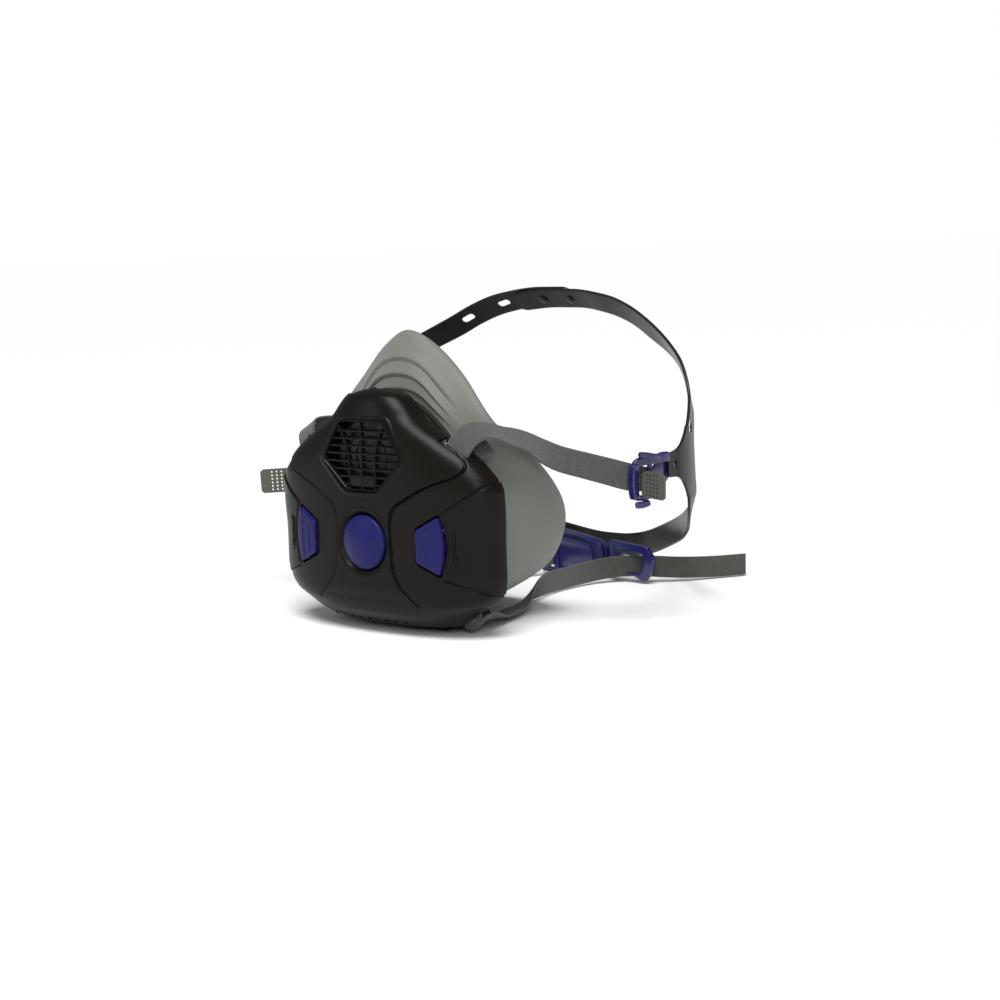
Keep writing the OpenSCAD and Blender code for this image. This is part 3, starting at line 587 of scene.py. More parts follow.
def make_housing():
    rows = np.unique(np.concatenate([np.linspace(0.4, 12, 26), np.linspace(12, 100, 190),
        np.linspace(100, 115.3, 40)]))
    cols = np.linspace(-1, 1, 301)
    z, s = np.meshgrid(rows, cols, indexing="ij")
    p = skin(z, s)
    x = np.abs(p[..., 0])
    depth = np.zeros_like(x)
    for line in (WING_UPPER, WING_LOWER):
        d = near_line(x, z, curve(line, 8))
        depth = np.maximum(depth, 0.55 * np.exp(-(d / 0.32) ** 2))
    out = 0.55 * wing_share(x, z)
    rim = near_line(x, z, [tuple(v) for v in PANEL_EDGE])
    depth = np.maximum(depth, 0.9 * np.exp(-(rim / 0.5) ** 2))
    rib = np.zeros_like(x)
    for at in (50.0, 52.3):
        d = near_line(x, z, [(at, 37.6), (at - 0.5, 44), (at, 51.5)])
        rib = np.maximum(rib, 0.55 * np.exp(-(d / 0.42) ** 2))
    groove = near_line(x, z, [(51.15, 36.5), (50.65, 44), (51.15, 52.5)])
    depth = np.maximum(depth, 0.45 * np.exp(-(groove / 0.9) ** 2) * (rib < 0.2))
    n = house_normal(p)
    p = p + n * (out + rib - depth)[..., None]
    inner = skin(z, s, 2.2)
    inner[..., 2] = np.clip(inner[..., 2], 1.2, 113.4)
    shell = sheet("housing_shell", p, inner, HOUSING, sharp=38)
    tools = [punch(rounded(hexagon(0.9), 2.5), -40, -20),
        drill((0, -40, BUTTON_Z), (0, -22, BUTTON_Z), BUTTON_R + 1.5, n=96)]
    for side in (1, -1):
        tools.append(punch(rounded([[side * a, b] for a, b in grown(RELEASE, 1.2)], 1.6), -40, -22))
        tools.append(strap_notch(side))
        u = unit(LOWER_AXIS)
        tools.append(drill(mirror(LOWER_BAR - u * 6.4, side), mirror(LOWER_BAR + u * 6.4, side), 4.6))
    for i in range(7):
        x0 = (i - 3) * 5.6
        tools.append(punch(rounded(rect(x0 - 1.5, 4.7, x0 + 1.5, 5.9), 0.4), -40, -15))
    tools.append(punch(rect(-28.1, -1, 28.1, 2.4), -8.6, 14.1))
    cut(shell, tools, 38)
    label(shell, "housing_plastic", "front_housing", body="mask")
    make_panel()


def strap_notch(side):
    """The open slot in the shoulder that the upper strap folds through."""
    u, c = unit(UPPER_AXIS), vec(46.9, -17.6, 90.6)
    return drill(mirror(c - u * 7.2, side), mirror(c + u * 7.2, side), 4.7)


def mirror(p, side):
    return vec(p[0] * side, p[1], p[2])


def grown(outline, d):
    pts = np.array(outline, float)
    mid = pts.mean(0)
    return pts + unit(pts - mid) * d * 1.25


def hexagon(grow):
    right = np.array(GRILLE, float)
    left = right[::-1] * [-1, 1]
    pts = np.concatenate([right, left])
    return pts + unit(pts - [0, 84.5]) * grow


def wing_share(x, z):
    """1 on the wing plate, which stands a little proud, and 0 off it."""
    upper = np.interp(x, [43.6, 48.7, 54.8, 61.2, 67], [58.8, 62.2, 66.2, 70.7, 74.6])
    lower = np.interp(x, [43.9, 52.8, 60.3, 67], [29.5, 26.4, 23.4, 18.4])
    inner = np.interp(z, [29, 37, 44.5, 52, 59], [45.6, 47.6, 48.1, 47.5, 45.6])
    return ease(x - inner, -0.2, 0.7) * ease(upper - z, 0.1, 0.8) * ease(z - lower, 0.1, 0.8)


PANEL_EDGE = np.stack([hermite(np.linspace(15, 84, 90), PANEL[:, 0], PANEL[:, 1]),
    np.linspace(15, 84, 90)], 1)


def make_panel():
    """The raised centre panel, fading into the chin at its lower end."""
    rows = np.linspace(14, 112.6, 220)
    cols = np.linspace(-1, 1, 181)
    half = hermite(rows, PANEL[:, 0], PANEL[:, 1]) - 0.35
    lim = skin_s(rows, half)
    z, u = np.meshgrid(rows, cols, indexing="ij")
    s = u * lim[:, None]
    p = skin(z, s)
    n = house_normal(p)
    from_edge = np.minimum((1 - np.abs(u)) * half[:, None], 112.6 - z)
    lip = np.sqrt(np.clip(1 - (1 - np.clip(from_edge / 0.7, 0, 1)) ** 2, 0, 1))
    rise = -0.5 + 1.35 * lip * ease(z, 14, 23)
    hexa = hexagon_distance(p[..., 0], z)
    rise = rise + 0.45 * np.exp(-((hexa - 0.9) / 0.8) ** 2)
    ring = np.hypot(p[..., 0], z - BUTTON_Z) - BUTTON_R
    rise = rise - 1.9 * np.clip(1 - (ring - 0.65) / 2.0, 0, 1) ** 1.1
    rise = rise + 0.15 * np.exp(-((ring - 3.4) / 0.5) ** 2)
    top = p + n * rise[..., None]
    low = p + n * np.minimum(rise - 0.5, -0.9)[..., None]
    panel = sheet("centre_panel_skin", top, low, HOUSING, sharp=38)
    around_button = drill((0, -40, BUTTON_Z), (0, -22, BUTTON_Z), BUTTON_R + 0.65, n=96)
    around_grille = punch(rounded(hexagon(0.3), 2.5, 8), -40, -20)
    cut(panel, [around_grille, around_button, strap_notch(1), strap_notch(-1)], 38)
    label(panel, "housing_plastic", "centre_panel", body="mask")


def hexagon_distance(x, z):
    pts = np.array(rounded(hexagon(0), 2.5, 6))
    return near_line(x, z, [tuple(v) for v in np.concatenate([pts, pts[:1]])])


def make_grille():
    hexa = lambda g, y: np.array([[a, y, b] for a, b in rounded(hexagon(g), 2.5, 8)])
    rings = [hexa(-1.2, -27.4), hexa(-1.35, -30.9), hexa(-1.0, -31.6), hexa(-0.5, -31.9),
        hexa(0.0, -31.7), hexa(0.15, -31.2), hexa(0.15, -27.4)]
    rim = tube("grille_rim", rings, HOUSING, "mask", closed=True, sharp=50)
    inside = hexagon(-1.2)
    for i in range(8):
        z = 70.9 + i * 3.6
        half = bar_half(inside, z)
        sec = [(-30.6, z + 0.4), (-30.95, z + 0.25), (-30.95, z - 0.45), (-30.6, z - 0.6),
            (-28.7, z + 0.1), (-28.4, z + 0.5), (-28.7, z + 0.8)]
        xs = np.linspace(-half, half, 25)
        rings = [[(x, y + 0.0009 * x * x, zz) for y, zz in sec] for x in xs]
        tube(f"louvre_{i}", rings, HOUSING, "mask", sharp=60)
    section = [(-0.5, -29.0), (-0.5, -30.9), (-0.3, -31.25), (0.3, -31.25), (0.5, -30.9), (0.5, -29.0)]
    outer_rib = [(7.8, 68.2), (8.1, 76), (8.4, 84), (10.2, 91), (14.2, 98.6)]
    ribs = {"0": [(0, 67.9), (0, 80), (0, 92), (0, 101)], "l": outer_rib, "r": flip(outer_rib)}
    for tag, keys in ribs.items():
        rings = [[(x + dx, y, z) for dx, y in section] for x, z in curve(keys, 8)]
        tube("grille_rib_" + tag, rings, HOUSING, "mask", sharp=60)
    plate = prism("grille_plate", rounded(rect(-7.4, 69.9, 7.4, 75.2), 1.0), "y", -31.05, -29.2, HOUSING)
    bevel(plate, 0.3)
    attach(plate, "mask")
    ring = lathe_y("speaking_disc", [(0, -24.2), (4, -24.35), (8.8, -24.3), (9.2, -24.9), (9.9, -24.9),
        (10.3, -24.3), (13.2, -24.3), (13.6, -24.8), (14.3, -24.8), (14.6, -24.2), (16.6, -24.1),
        (16.6, -24.0), (0, -24.0)], 0, 83, FILM, "mask")
    label(ring, "diaphragm_film", "speaking_diaphragm")
    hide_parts("grille")


def bar_half(outline, z):
    pts = np.array(outline)
    best = 0
    for a, b in zip(pts, np.roll(pts, -1, 0)):
        if (a[1] - z) * (b[1] - z) <= 0 and abs(a[1] - b[1]) > 1e-6:
            best = max(best, a[0] + (z - a[1]) / (b[1] - a[1]) * (b[0] - a[0]))
    return best + 0.3


# ---- buttons ----

# Where the springs end: the floor of the seal-check cup and the front of the inner plate.
CUP_FLOOR, PLATE_FRONT = -12.4, -20


def make_buttons():
    edge = [(BUTTON_R - 1.5 + 1.5 * math.sin(t), -31.6 - 1.3 * math.cos(t))
        for t in np.linspace(0.35, math.pi / 2, 9)]
    dome = [(r, -32.86 - 3.0 * (1 - (r / 12.1) ** 2)) for r in np.linspace(0, 11.8, 18)]
    button = lathe_y("seal_check_dome", dome + edge + [(BUTTON_R, -29.2), (0, -29.2)], 0, BUTTON_Z, BLUE,
        "seal_check", 128)
    label(button, "blue_plastic", "seal_check_button")
    for side, tag in SIDES:
        tilt = math.tan(math.radians(11))
        front = lambda x, lift: -30.45 + (x - 38) * tilt - lift
        pts = np.array(rounded(RELEASE, 1.4, 6))
        mid = pts.mean(0)
        rings = []
        for grow, lift in ((0, -1.85), (0, -0.15), (-0.12, 0.1), (-0.45, 0.3), (-1.2, 0.42), (-4, 0.5),
                (-9, 0.55)):
            q = pts + unit(pts - mid) * grow if grow > -2 else mid + (pts - mid) * (1 + grow / 14)
            rings.append([(side * x, front(x, lift), z) for x, z in q])
        pad = tube("release_pad_" + tag, rings, BLUE, f"{tag}_release", sharp=45)
        label(pad, "blue_plastic", f"{tag}_release_button")
        for i, (x, z0, z1) in enumerate(((36.7, 35.6, 50.6), (41.2, 33.6, 54.2))):
            zs = np.linspace(z0, z1, 22)
            rings = []
            for z in zs:
                k = math.sqrt(max(0.02, 1 - abs(2 * (z - z0) / (z1 - z0) - 1) ** 8))
                bow = 0.9 * (1 - ((z - 44) / 12) ** 2) if i else 0.3
                rings.append([(side * (x + bow + dx * k), front(x + bow + dx * k, 0.35 + dy * k), z)
                    for dx, dy in ((-0.95, 0), (-0.7, 0.42), (-0.2, 0.62), (0.2, 0.62), (0.7, 0.42),
                    (0.95, 0), (0, -0.3))])
            rib = tube(f"release_rib_{tag}_{i}", rings, BLUE, f"{tag}_release", sharp=60)
        latch = prism("release_latch_" + tag, rect(side * 43.2, 41.5, side * 45, 47), "y", -28.3, -23.4,
            BLUE)
        bevel(latch, 0.25)
        label(latch, "blue_plastic", body=f"{tag}_release")


def make_spring(node, x, z, radius, wire, front, rear):
    """A coil of five turns running from front to rear, fixed in place and tied to no body."""
    turns = np.linspace(0, 5, 121)
    angle = 2 * math.pi * turns
    outward = np.stack([np.cos(angle), np.zeros_like(angle), np.sin(angle)], -1)
    height = front + wire + (rear - front - 2 * wire) * turns / 5
    centre = vec(x, 0, z) + outward * radius + np.outer(height, [0, 1, 0])
    rings = [[c + wire * (math.cos(b) * o + math.sin(b) * vec(0, 1, 0))
        for b in np.linspace(0, -2 * math.pi, 10, endpoint=False)] for c, o in zip(centre, outward)]
    coil = tube("coil_" + node, rings, STEEL)
    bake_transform(coil)
    label(coil, "spring_steel", node)


def make_springs():
    make_spring("seal_check_spring", 0, BUTTON_Z, 3.9, 0.45, CUP_FLOOR - 14.25,
        CUP_FLOOR - 0.05)
    for side, tag in SIDES:
        make_spring(f"{tag}_release_spring", side * 40.7, 50.5, 1.5, 0.35, -27.9,
            PLATE_FRONT - 0.1)


# ---- face seal ----

SEAL_RIM = [[0, 108.9], [13, 106.8], [27, 97.6], [41.5, 82], [49.2, 63], [49.6, 40], [46.5, 20], [32, 8],
    [0, 5.6]]
SEAL_BULGE = [[0, -2.5, 124], [13, -2.6, 120.5], [26.5, -1.5, 107.5], [45, 1, 89], [53.5, 9, 69],
    [55.5, 16, 47], [50, 20, 26], [33, 20, 10.5], [0, 18, 7.5]]
SEAL_EDGE = [[0, 5.5, 141.2], [15.2, 7.4, 134.5], [30.4, 8.6, 120.5], [49, 8, 98.5], [60, 24, 80],
    [62.5, 41, 58], [54.5, 51, 38], [34, 61, 20], [0, 66, 11]]
SEAL_LIP = [[0, 17, 128], [11, 18, 121.5], [24, 18, 107], [36, 22, 90], [45, 36, 74], [47, 48, 57],
    [40, 56, 42], [24, 62, 31], [0, 65, 26]]


def closed_half(half, n):
    return curve(half + flip(half[-2:0:-1]), n, closed=True)


def make_seal():
    n = 16
    rim = closed_half(SEAL_RIM, n)
    rings = [closed_half(k, n) for k in (SEAL_BULGE, SEAL_EDGE, SEAL_LIP)]
    count = len(rim)
    front = np.stack([rim[:, 0], np.full(count, -10.0), rim[:, 1]], 1)
    rear = np.stack([rim[:, 0], np.full(count, -3.0), rim[:, 1]], 1)
    skin_rows = curve(np.stack([rear] + rings), 34)
    collar = front + (rear - front) * np.linspace(0, 0.9, 5)[:, None, None]
    grid = np.concatenate([collar, skin_rows]).transpose(1, 0, 2)
    down = np.gradient(grid, axis=1)
    around = np.roll(grid, -1, 0) - np.roll(grid, 1, 0)
    normal = unit(np.cross(around, down))
    u = np.concatenate([np.linspace(-0.3, -0.02, 5), np.linspace(0, 3, len(skin_rows))])
    upper = ease(grid[:, :, 2].max(1), 112, 128)[:, None]
    folds = sum(0.95 * np.exp(-((u - c) / np.where(u < c, 0.035, 0.15)) ** 2)
        for c in (0.42, 0.82, 1.24))[None] * upper
    valley = sum(0.55 * np.exp(-((u - c + 0.08) / 0.035) ** 2) for c in (0.42, 0.82, 1.24))[None] * upper
    grid = grid + normal * (folds - valley)[..., None]
    last = grid.shape[1] - 1
    thick = np.interp(np.arange(last + 1), [0, last - 29, last], [2.4, 2.2, 1.3])
    inner = grid - normal * thick[None, :, None]
    lip = 0.5 * (grid[:, -1:] + inner[:, -1:]) + unit(down[:, -1:]) * 0.55
    loop = np.concatenate([grid, lip, inner[:, ::-1]], 1)
    seal = tube("face_seal_skin", loop, SEAL, "mask", closed=True, sharp=70)
    label(seal, "seal_silicone", "face_seal")


# ---- straps and harness ----

UPPER_PATH = [[47.3, -17.7, 87.1], [50.1, -15.6, 92.4], [52.3, -11.7, 95.3], [54.8, -6.7, 96.1],
    [57.3, -1.9, 95], [60, 2.8, 92.9], [62.5, 7.6, 91.2], [65.3, 14, 88.4], [69.4, 18.2, 84.5],
    [74.9, 23.8, 80.5], [83.7, 32.2, 76.7], [92.2, 39.3, 73.4], [96, 42.6, 71.8], [98.7, 46.5, 70.4],
    [101.2, 51.5, 69.2], [103.4, 56.2, 68.4], [105.3, 56.4, 67.9], [105.4, 53, 67.5], [104.6, 49.8, 67.3]]
UPPER_DIR = [[0.84, 0.1, -0.5], [0.86, 0.05, -0.5], [0.86, 0, -0.5], [0.84, -0.1, -0.5],
    [0.75, -0.3, -0.54], [0.63, -0.48, -0.54], [0.53, -0.55, -0.6], [0.46, -0.55, -0.65],
    [0.33, -0.43, -0.8], [0.25, -0.35, -0.88], [0.2, -0.3, -0.92], [0.1, -0.2, -0.97], [0, -0.1, -1],
    [0, 0, -1], [0, 0, -1], [0, 0, -1], [0, 0, -1], [0, 0, -1], [0, 0, -1]]
CROWN_PATH = [[103.5, 90, 88.6], [104, 90, 91], [104.3, 90.5, 97.4], [103.2, 91.7, 103.6],
    [100.1, 94.7, 109.3], [94.2, 100, 116.7], [85.5, 106.5, 123.3], [74.9, 112.5, 129.5],
    [63.3, 117, 135.6], [51.9, 120, 141.6], [39.7, 122, 146.3], [26.9, 123.8, 149], [15.4, 125.6, 150.5],
    [4, 126.5, 150.7], [-10, 126.5, 150.6], [-27, 124, 148.8]]
CROWN_DIR = [[0.27, -0.96, 0], [0.32, -0.95, 0], [0.4, -0.9, 0.15], [0.44, -0.79, 0.43],
    [0.34, -0.67, 0.66], [0.21, -0.63, 0.75], [0.09, -0.64, 0.76], [0.12, -0.64, 0.76],
    [0.21, -0.6, 0.77], [0.21, -0.62, 0.76], [0.15, -0.61, 0.78], [0.07, -0.63, 0.77],
    [0.03, -0.65, 0.76], [0, -0.66, 0.75], [0, -0.66, 0.75], [0, -0.66, 0.75]]
REAR_PATH = [[103, 92, 60.6], [102.3, 93.5, 56.6], [99.2, 98, 50.9], [93.5, 105, 45.7], [87.4, 113, 41.2],
    [79.7, 121.5, 36.8], [68.5, 134, 31.8], [50, 152, 24.8], [27, 167.5, 16.4], [12, 172, 13.2],
    [0, 173, 12.6]]
REAR_DIR = [[-0.27, 0.9, 0.35], [-0.22, 0.82, 0.54], [-0.11, 0.64, 0.76], [-0.14, 0.46, 0.88],
    [-0.15, 0.38, 0.91], [-0.16, 0.3, 0.94], [-0.16, 0.18, 0.97], [-0.1, 0.05, 0.99], [0, -0.1, 0.99],
    [0, -0.2, 0.98], [0, -0.22, 0.97]]
NECK_LEFT = [[43.5, 5, 4.9], [38, 20, 2.6], [34, 40, 3.2], [25, 62, 5.4], [18, 84, 6.1], [17, 104, 6.2],
    [20, 122, 6.9], [27, 133.2, 8], [33, 137.4, 8.3], [40, 141.2, 8.3], [48, 145, 8], [58, 153, 7.2],
    [68, 167, 6.3], [78, 182, 6.1]]
NECK_RIGHT = [[-43.5, 5, 4.9], [-39, 20, 2.6], [-36, 40, 3.2], [-33, 62, 5.4], [-31, 84, 6.1],
    [-30, 102, 6.5], [-27, 116, 7.5], [-21.2, 126.5, 9.2], [-18, 133, 10.1], [-18, 137.5, 10.3],
    [-18, 142, 10.3], [-17.8, 149, 10.3]]
NECK_DIR = [[0.82, 0, 0.57], [1, 0, 0.1], [1, 0, 0.15], [0.6, 0, 0.8], [0.1, 0, 1]]


def wrap(centre, side_dir, radius, start, end, step=12):
    """Points of a wrap round a bar, by angle from the rear (+Y) over the top towards the front."""
    u = unit(side_dir)
    y = vec(0, 1, 0)
    up = unit(np.cross(u, y))
    up = up if up[2] > 0 else -up
    step = math.copysign(step, end - start)
    angles = np.radians(np.arange(start, end + step / 2, step))
    return [centre + radius * (math.cos(a) * y + math.sin(a) * up) for a in angles]


def turned(points, side):
    pts = np.array(points, float)
    pts[:, 0] *= side
    return pts


def make_upper_straps():
    u = UPPER_AXIS
    for side, tag in SIDES:
        loop = [vec(53.6, -2.5, 89.5), vec(50, -8, 87)] + wrap(UPPER_BAR, u, 2.65, 310, 205, 15)
        keys = loop + [vec(*p) for p in UPPER_PATH]
        dirs = [u] * len(loop) + [vec(*d) for d in UPPER_DIR]
        path = curve(keys, 5)
        if side < 0:  # the right strap bows out less
            path[:, 0] -= 5.5 * ease(path[:, 1], -14, -5) * (1 - ease(path[:, 1], 8, 30))
        across = curve(dirs, 5)
        strap = band("upper_strap_" + tag, turned(path, side), turned(across, side), 12.8, 1.25, KNIT,
            None, corner=0.5, step=0.9, stretch=lambda s: 1 - 0.12 * ease(s, s.max() - 20, s.max() - 9))
        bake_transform(strap)
        label(strap, "upper_knit", f"{tag}_upper_strap", f"{tag}_upper_loop")
        make_buckle(side, tag)
        make_tab(side, tag)


def limb(name, keys, width, thick, side):
    """A moulded arm of the buckle: its broad side faces outwards."""
    path = curve([mirror(k, side) for k in keys], 8)
    return band(name, path, np.repeat([[0, 0, 1.0]], len(path), 0), width, thick, GLOSS, "upper_straps",
        corner=0.7, round_ends=(0.9, 0.9), step=0.6)


def make_buckle(side, tag):
    rings = []
    section = rounded([[-2.1, -1.7], [1.9, -2.1], [2.3, 1.7], [-1.7, 2.1]], 0.8, 5)
    for z in np.linspace(60.2, 76.8, 25):
        t = (z - 68.5) / 8.3
        mid = vec(101.7 - 0.5 * (1 - t * t), 45.5 - 0.5 * (1 - t * t), z)
        k = 1 - 0.12 * abs(t) ** 8
        rings.append([mirror(mid + vec(a, b, 0) * k, side) for a, b in section])
    front = tube("buckle_front_" + tag, rings, GLOSS, None, sharp=60)
    bevel(front, 0.25, 2, 60)
    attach(front, "upper_straps")
    arms = {
        "arm_upper": (4.2, 2.4, (101.9, 45.6, 75.8), (103, 48, 77.6), (104.8, 52.5, 78), (106.2, 57, 78.2),
                      (107, 62, 78.4), (107, 66.2, 78.2)),
        "ear_upper": (2.9, 1.9, (104.7, 45.4, 81.3), (106.4, 49.2, 80.7), (107.9, 53.2, 79.8),
                      (108.1, 57, 79.2)),
        "block": (3.4, 3, (107.2, 57.4, 79.1), (108.2, 59.4, 79.6), (108.5, 63.2, 79.6)),
        "arm_lower": (2.8, 2, (101.8, 45.6, 61), (103.3, 50, 60.5), (104.8, 56.5, 62), (105.8, 62.5, 66.5),
                      (105.8, 67, 70)),
        "ear_lower": (3.2, 2.4, (102.4, 44.8, 57.6), (104.6, 47.4, 57.6), (106.4, 50.4, 58.6)),
    }
    for arm, (width, thick, *keys) in arms.items():
        limb(f"buckle_{arm}_{tag}", keys, width, thick, side)
    rod("buckle_rear_" + tag, mirror(vec(103.4, 54.2, 61.6), side),
        mirror(vec(104.6, 54.2, 77.8), side), 1.25, GLOSS, "upper_straps")
    plate = prism("buckle_plate_" + tag, rounded([[51.8, 72.4], [58.6, 77], [66, 77.9], [72.4, 77.6],
        [74, 75.6], [74, 72.4], [72.4, 70.4], [66, 69.4], [56, 69.8]], 1.0), "x",
        min(side * 104.9, side * 106.1), max(side * 104.9, side * 106.1), GLOSS)
    bevel(plate, 0.3)
    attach(plate, "upper_straps")
    rod("buckle_stud_" + tag, mirror(vec(105.6, 69.6, 74), side),
        mirror(vec(108.1, 69.6, 74), side), 1.2, GLOSS, "upper_straps",
        profile=[(0, 1), (0.85, 1), (0.95, 0.9), (1, 0.7)])
    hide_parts(f"{tag}_upper_buckle")


def make_tab(side, tag):
    """The left strap is pulled through further, so its tab is the shorter one; the right one sags."""
    start = vec(104.2, 48.4, 67.3)
    near = side > 0
    swing, length, half, sag = (-15, 15.7, 6, 0) if near else (-35, 32.8, 6.4, 8.3)
    columns, first, pitch, radius = (4, 3.6, 2.4, 0.72) if near else (3, 21.4, 2.6, 0.55)
    rot = Matrix.Rotation(math.radians(swing), 3, "Z") @ Matrix.Rotation(math.radians(2), 3, "Y")
    at = lambda p: mirror(np.array(rot @ Vector(p)) + start - vec(0, 0, sag * ease(p[0], 1, 17)), side)
    steps = np.linspace(1.5, length - 1.5, 24)
    out = [(0, 1.2 - half)] + [(x, -half) for x in steps] + [(length, 1.2 - half), (length, half - 1.2)]
    out += [(x, half) for x in steps[::-1]] + [(0, half - 1.2)]
    rings = [[at((x, y, z)) for x, z in out] for y in (-0.6, 0.6)]
    tab = tube("strap_tab_body_" + tag, rings, TAB, None)
    holes = [(first + i * pitch, (k - 2.5) * 1.9) for i in range(columns) for k in range(6)]
    tools = [drill(at((x, -3, z)), at((x, 3, z)), radius, n=14) for x, z in holes]
    cut(tab, tools, 40)
    label(tab, "strap_tab_rubber", f"{tag}_strap_tab", body="upper_straps")


def oval_tool(centre, normal, along, half, radius):
    """A slot-shaped cutter."""
    d, a = unit(normal), unit(along)
    a = unit(a - d * np.dot(a, d))
    b = np.cross(d, a)
    pts = []
    for end in (1, -1):
        for t in np.linspace(-90, 90, 11):
            c, s = math.cos(math.radians(t)), math.sin(math.radians(t))
            pts.append(a * (end * (half + radius * c)) + b * (end * radius * s))
    pts = np.array(pts)
    return tube("cutter", [centre + pts - d * 4, centre + pts + d * 4], CRADLE)


# Outline of the cradle's side plate: height, front edge, rear edge.
PLATE = np.array([[55.6, 87.6, 98], [57.6, 85.9, 98.4], [60.5, 83.2, 98.8], [63.4, 80.5, 99],
    [65.4, 78.6, 98.6], [66.8, 76.6, 98.2], [67.6, 74.6, 98], [68.1, 72, 97.8], [68.25, 69, 97.8],
    [68.4, 66.6, 97.7], [69, 65.6, 97.6], [79.2, 65.6, 95.7], [79.9, 66.5, 95.7], [80.3, 69, 95.7],
    [80.8, 72, 95.6], [81.6, 74.6, 95.6], [83.2, 77.2, 95.6], [85.7, 79.8, 95.7], [88.2, 82, 95.9],
    [91.2, 83.8, 96]])


def make_plate(side, tag):
    """The plate bends round the head: it is flat at the buckle and leans in behind."""
    z = np.unique(np.concatenate([np.linspace(55.6, 91.2, 90), np.linspace(66, 70, 24),
        np.linspace(78.5, 84, 30)]))
    u = np.linspace(0, 1, 40)
    front, rear = (np.interp(z, PLATE[:, 0], PLATE[:, k]) for k in (1, 2))
    y = front[:, None] + (rear - front)[:, None] * u
    lean = 0.7 * ease(63 - z, 0, 8)[:, None] * (1 - u)
    x = 107.2 - 0.0095 * np.maximum(0, y - 72) ** 2 - lean
    height = np.repeat(z[:, None], len(u), 1)
    out = unit(np.stack([np.ones_like(y), 0.019 * np.maximum(0, y - 72), np.zeros_like(y)], -1))
    mid = np.stack([x, y, height], -1)
    step = 0.25 * ease(y, 73.2, 73.9)
    top, low = mid + out * (0.5 + step)[..., None], mid - out * 0.75
    return sheet("cradle_side_" + tag, top * [side, 1, 1], low * [side, 1, 1], CRADLE)


def make_cradle():
    pegs, peg_line = (-10, 8), unit(vec(0, 0.75, 0.66))
    for side, tag in SIDES:
        last = len(CROWN_PATH) if side > 0 else len(CROWN_PATH) - 1
        path = curve(CROWN_PATH[:last], 10)
        across = curve(CROWN_DIR[:last], 10)
        lift = 0 if side > 0 else -1.8
        strap = band("crown_strap_" + tag, turned(path, side), turned(across, side), 12.8, 1.5, CRADLE,
            None, corner=0.55, lift=lift, round_ends=(0, 6.2), step=1.5)
        slot = (vec(side * 104.4, 89.8, 90.4), vec(side * 0.62, -0.77, 0.14), vec(0, 0, 1), 2.3, 0.8)
        tools = [oval_tool(*slot)]
        if side < 0:
            outer = oval_tool(vec(-56, 118.8, 139.3), vec(-0.45, 0.7, 0.7), vec(0.8, 0.2, 0.4), 1.9, 2.1)
            inner = oval_tool(vec(-34.4, 122.8, 147.3), vec(-0.3, 0.75, 0.66), vec(0.9, 0.1, 0.3), 1.9, 2.1)
            tools += [outer, inner]
        tools += [drill(vec(x, 126.5, 150.6) - peg_line * 5, vec(x, 126.5, 150.6) + peg_line * 5, 2.1)
            for x in pegs]
        cut(strap, tools, 45)
        label(strap, "cradle_plastic", f"{tag}_crown_strap", body="cradle")
        plate = make_plate(side, tag)
        stud_slot = oval_tool(vec(side * 107, 71.6, 74.2), vec(1, 0, 0), vec(0, 0.05, 1), 1.4, 0.7)
        dimple = drill((side * 106.9, 83.5, 77.5), (side * 110, 83.5, 77.5), 0.7)
        cut(plate, [oval_tool(*slot), stud_slot, dimple], 40)
        label(plate, "cradle_plastic", f"{tag}_cradle_plate", body="cradle")
    path = curve(REAR_PATH + flip(REAR_PATH[-2::-1]), 10)
    across = curve(REAR_DIR + flip(REAR_DIR[-2::-1]), 10)
    rear = band("occipital_strap", path, across, 12.8, 1.5, CRADLE, "cradle", corner=0.55, step=1.5)
    label(rear, "cradle_plastic", "occipital_band")
    for i, x in enumerate(pegs):
        base = vec(x, 126.5, 150.6)
        peg = rod(f"crown_peg_{i}", base - peg_line * 1.5, base + peg_line * 3.4, 2.5, CRADLE, "cradle",
            profile=[(0, 0.75), (0.06, 1), (0.14, 1), (0.15, 0.8), (0.86, 0.8), (0.87, 1), (0.96, 1),
            (1, 0.85)])
        if i == 0:
            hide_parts("crown_pegs")


def make_neck_straps():
    u = LOWER_AXIS
    for side, tag, keys in ((1, "left", NECK_LEFT), (-1, "right", flip(NECK_RIGHT))):
        dirs = [vec(*d) for d in NECK_DIR] + [vec(0, 0, 1)] * (len(keys) - len(NECK_DIR))
        loop = wrap(LOWER_BAR, u, 2.6, 40, 160, 20)
        loop += [vec(45.2, -8.4, 7), vec(46, -7.8, 5.9), vec(46.5, -5.2, 5.1), vec(46.2, -1.4, 5)]
        path = curve(loop + [vec(*k) for k in keys], 6)
        across = curve([u] * (len(loop) - 4) + [vec(0.75, 0, 0.66), vec(0.66, 0, 0.75),
            vec(0.64, 0.1, 0.77), vec(0.7, 0.1, 0.7)] + dirs, 6)
        strap = band("neck_band_" + tag, turned(path, side), turned(across, side), 11.4, 1.2, WEB, None,
            corner=0.45, step=1.0)
        if side < 0:
            holes = [(142 + i * 2.0, 10.3 + (k - 1.5) * 2.1) for i in range(3) for k in range(4)]
            cut(strap, [drill((-25, y, z), (-11, y, z), 0.45, n=10) for y, z in holes], 45)
        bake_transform(strap)
        label(strap, "neck_webbing", f"{tag}_neck_strap", f"{tag}_lower_loop")


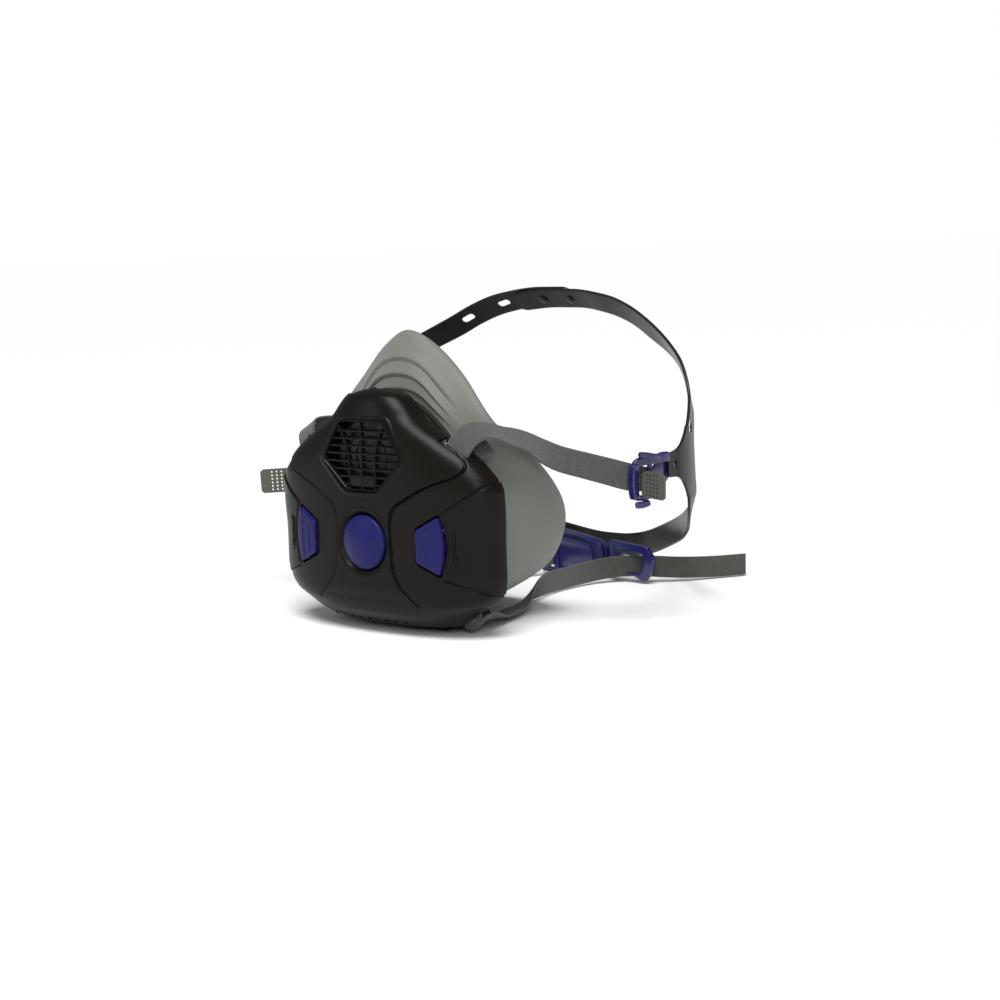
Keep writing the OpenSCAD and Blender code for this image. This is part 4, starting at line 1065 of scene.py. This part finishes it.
def make_clip():
    outer = rounded([[21.5, 3.6], [37, 3.2], [43.6, 0.4], [47.5, 4.5], [50, 13], [45.5, 19.4],
        [21.5, 21.8]], 1.6, 6)
    body = prism("clip_frame_body", outer, "y", 136, 139, GLOSS)
    cut(body, [punch(rounded([[26.5, 5.2], [41, 4.6], [43.5, 15], [26.5, 17]], 1.2, 5), 130, 145)], 40)
    bevel(body, 0.5, 3, 50)
    label(body, "blue_plastic", "neck_clip_frame", body="neck_strap")
    arc = [[13.6 + 6.2 * math.cos(t), 13.2 + 8.4 * math.sin(t)] for t in np.linspace(-1.2, 1.2, 13)]
    pts = [[-23, 1.2], [6, 1.2]] + arc + [[-8, 25.4], [-23, 20.4], [-24, 19], [-24, 2.4]]
    hook = prism("clip_hook_body", pts, "y", 136, 139, GLOSS)
    pocket = [[-12.6, 3.2], [4, 3.2], [9.5, 5.4], [11.6, 9.5], [12.3, 13.4], [11.4, 17], [8.6, 20.2],
        [-8, 22.8], [-12.6, 21.4]]
    gap = [[15.9 + a * math.cos(t), 13 + b * math.sin(t)]
        for a, b, way in ((1.6, 6.6, 1), (3.0, 7.6, -1)) for t in way * np.linspace(-1.1, 1.1, 12)]
    cut(hook, [punch(rounded(rect(-20.5, 3.6, -15.5, 17), 1.0, 5), 130, 145),
        punch(rounded(pocket, 1.0, 4), 130, 137.1), punch(gap, 130, 145)], 40)
    inner = rounded([[-11, 4.8], [3.4, 4.8], [8.4, 6.8], [10, 10], [10.5, 13.3], [9.7, 16], [7.4, 18.6],
        [-7.6, 21], [-11, 19.8]], 1.2, 4)
    pad = prism("clip_hook_pad", inner, "y", 136.5, 137.4, GLOSS)
    bevel(pad, 0.2)
    label(pad, "blue_plastic", body="neck_clip")
    bevel(hook, 0.5, 3, 50)
    label(hook, "blue_plastic", "neck_clip_hook", body="neck_clip")
    for i, (x0, x1, y0) in enumerate(((13.5, 28.4, 138.9), (26.9, 28.5, 136.6))):
        nose = prism(f"clip_nose_{i}", rounded(rect(x0, 6, x1, 15), 0.5), "y", y0, 141, GLOSS)
        bevel(nose, 0.2)
        label(nose, "blue_plastic", body="neck_clip")


# ---- CAD nodes that stay, with their own finishes ----

FINISH = {"housing_screws": STEEL, "left_inhalation_seat": SEAT, "right_inhalation_seat": SEAT,
    "exhalation_seat": SEAT, "left_inhalation_flap": FLAP, "right_inhalation_flap": FLAP,
    "exhalation_flap": FLAP, "left_port_gasket": GASKET, "right_port_gasket": GASKET,
    "inner_body": INSERT, "exhaust_cover": INSERT, "seal_clamp_ring": INSERT, "diaphragm_ring": INSERT,
    "shutter_yoke": INSERT, "screw_posts": HOUSING, "base_plate": HOUSING, "left_port_socket": HOUSING,
    "right_port_socket": HOUSING, "left_upper_anchor": HOUSING, "right_upper_anchor": HOUSING,
    "left_lower_anchor": HOUSING, "right_lower_anchor": HOUSING}


def finish_cad():
    for node, mat in FINISH.items():
        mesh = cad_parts[node].data
        mesh.materials.clear()
        mesh.materials.append(mat)


for job in (make_camera, make_studio, make_housing, make_grille, make_buttons, make_springs, make_seal,
        make_upper_straps, make_cradle, make_neck_straps, make_clip, finish_cad):
    job()
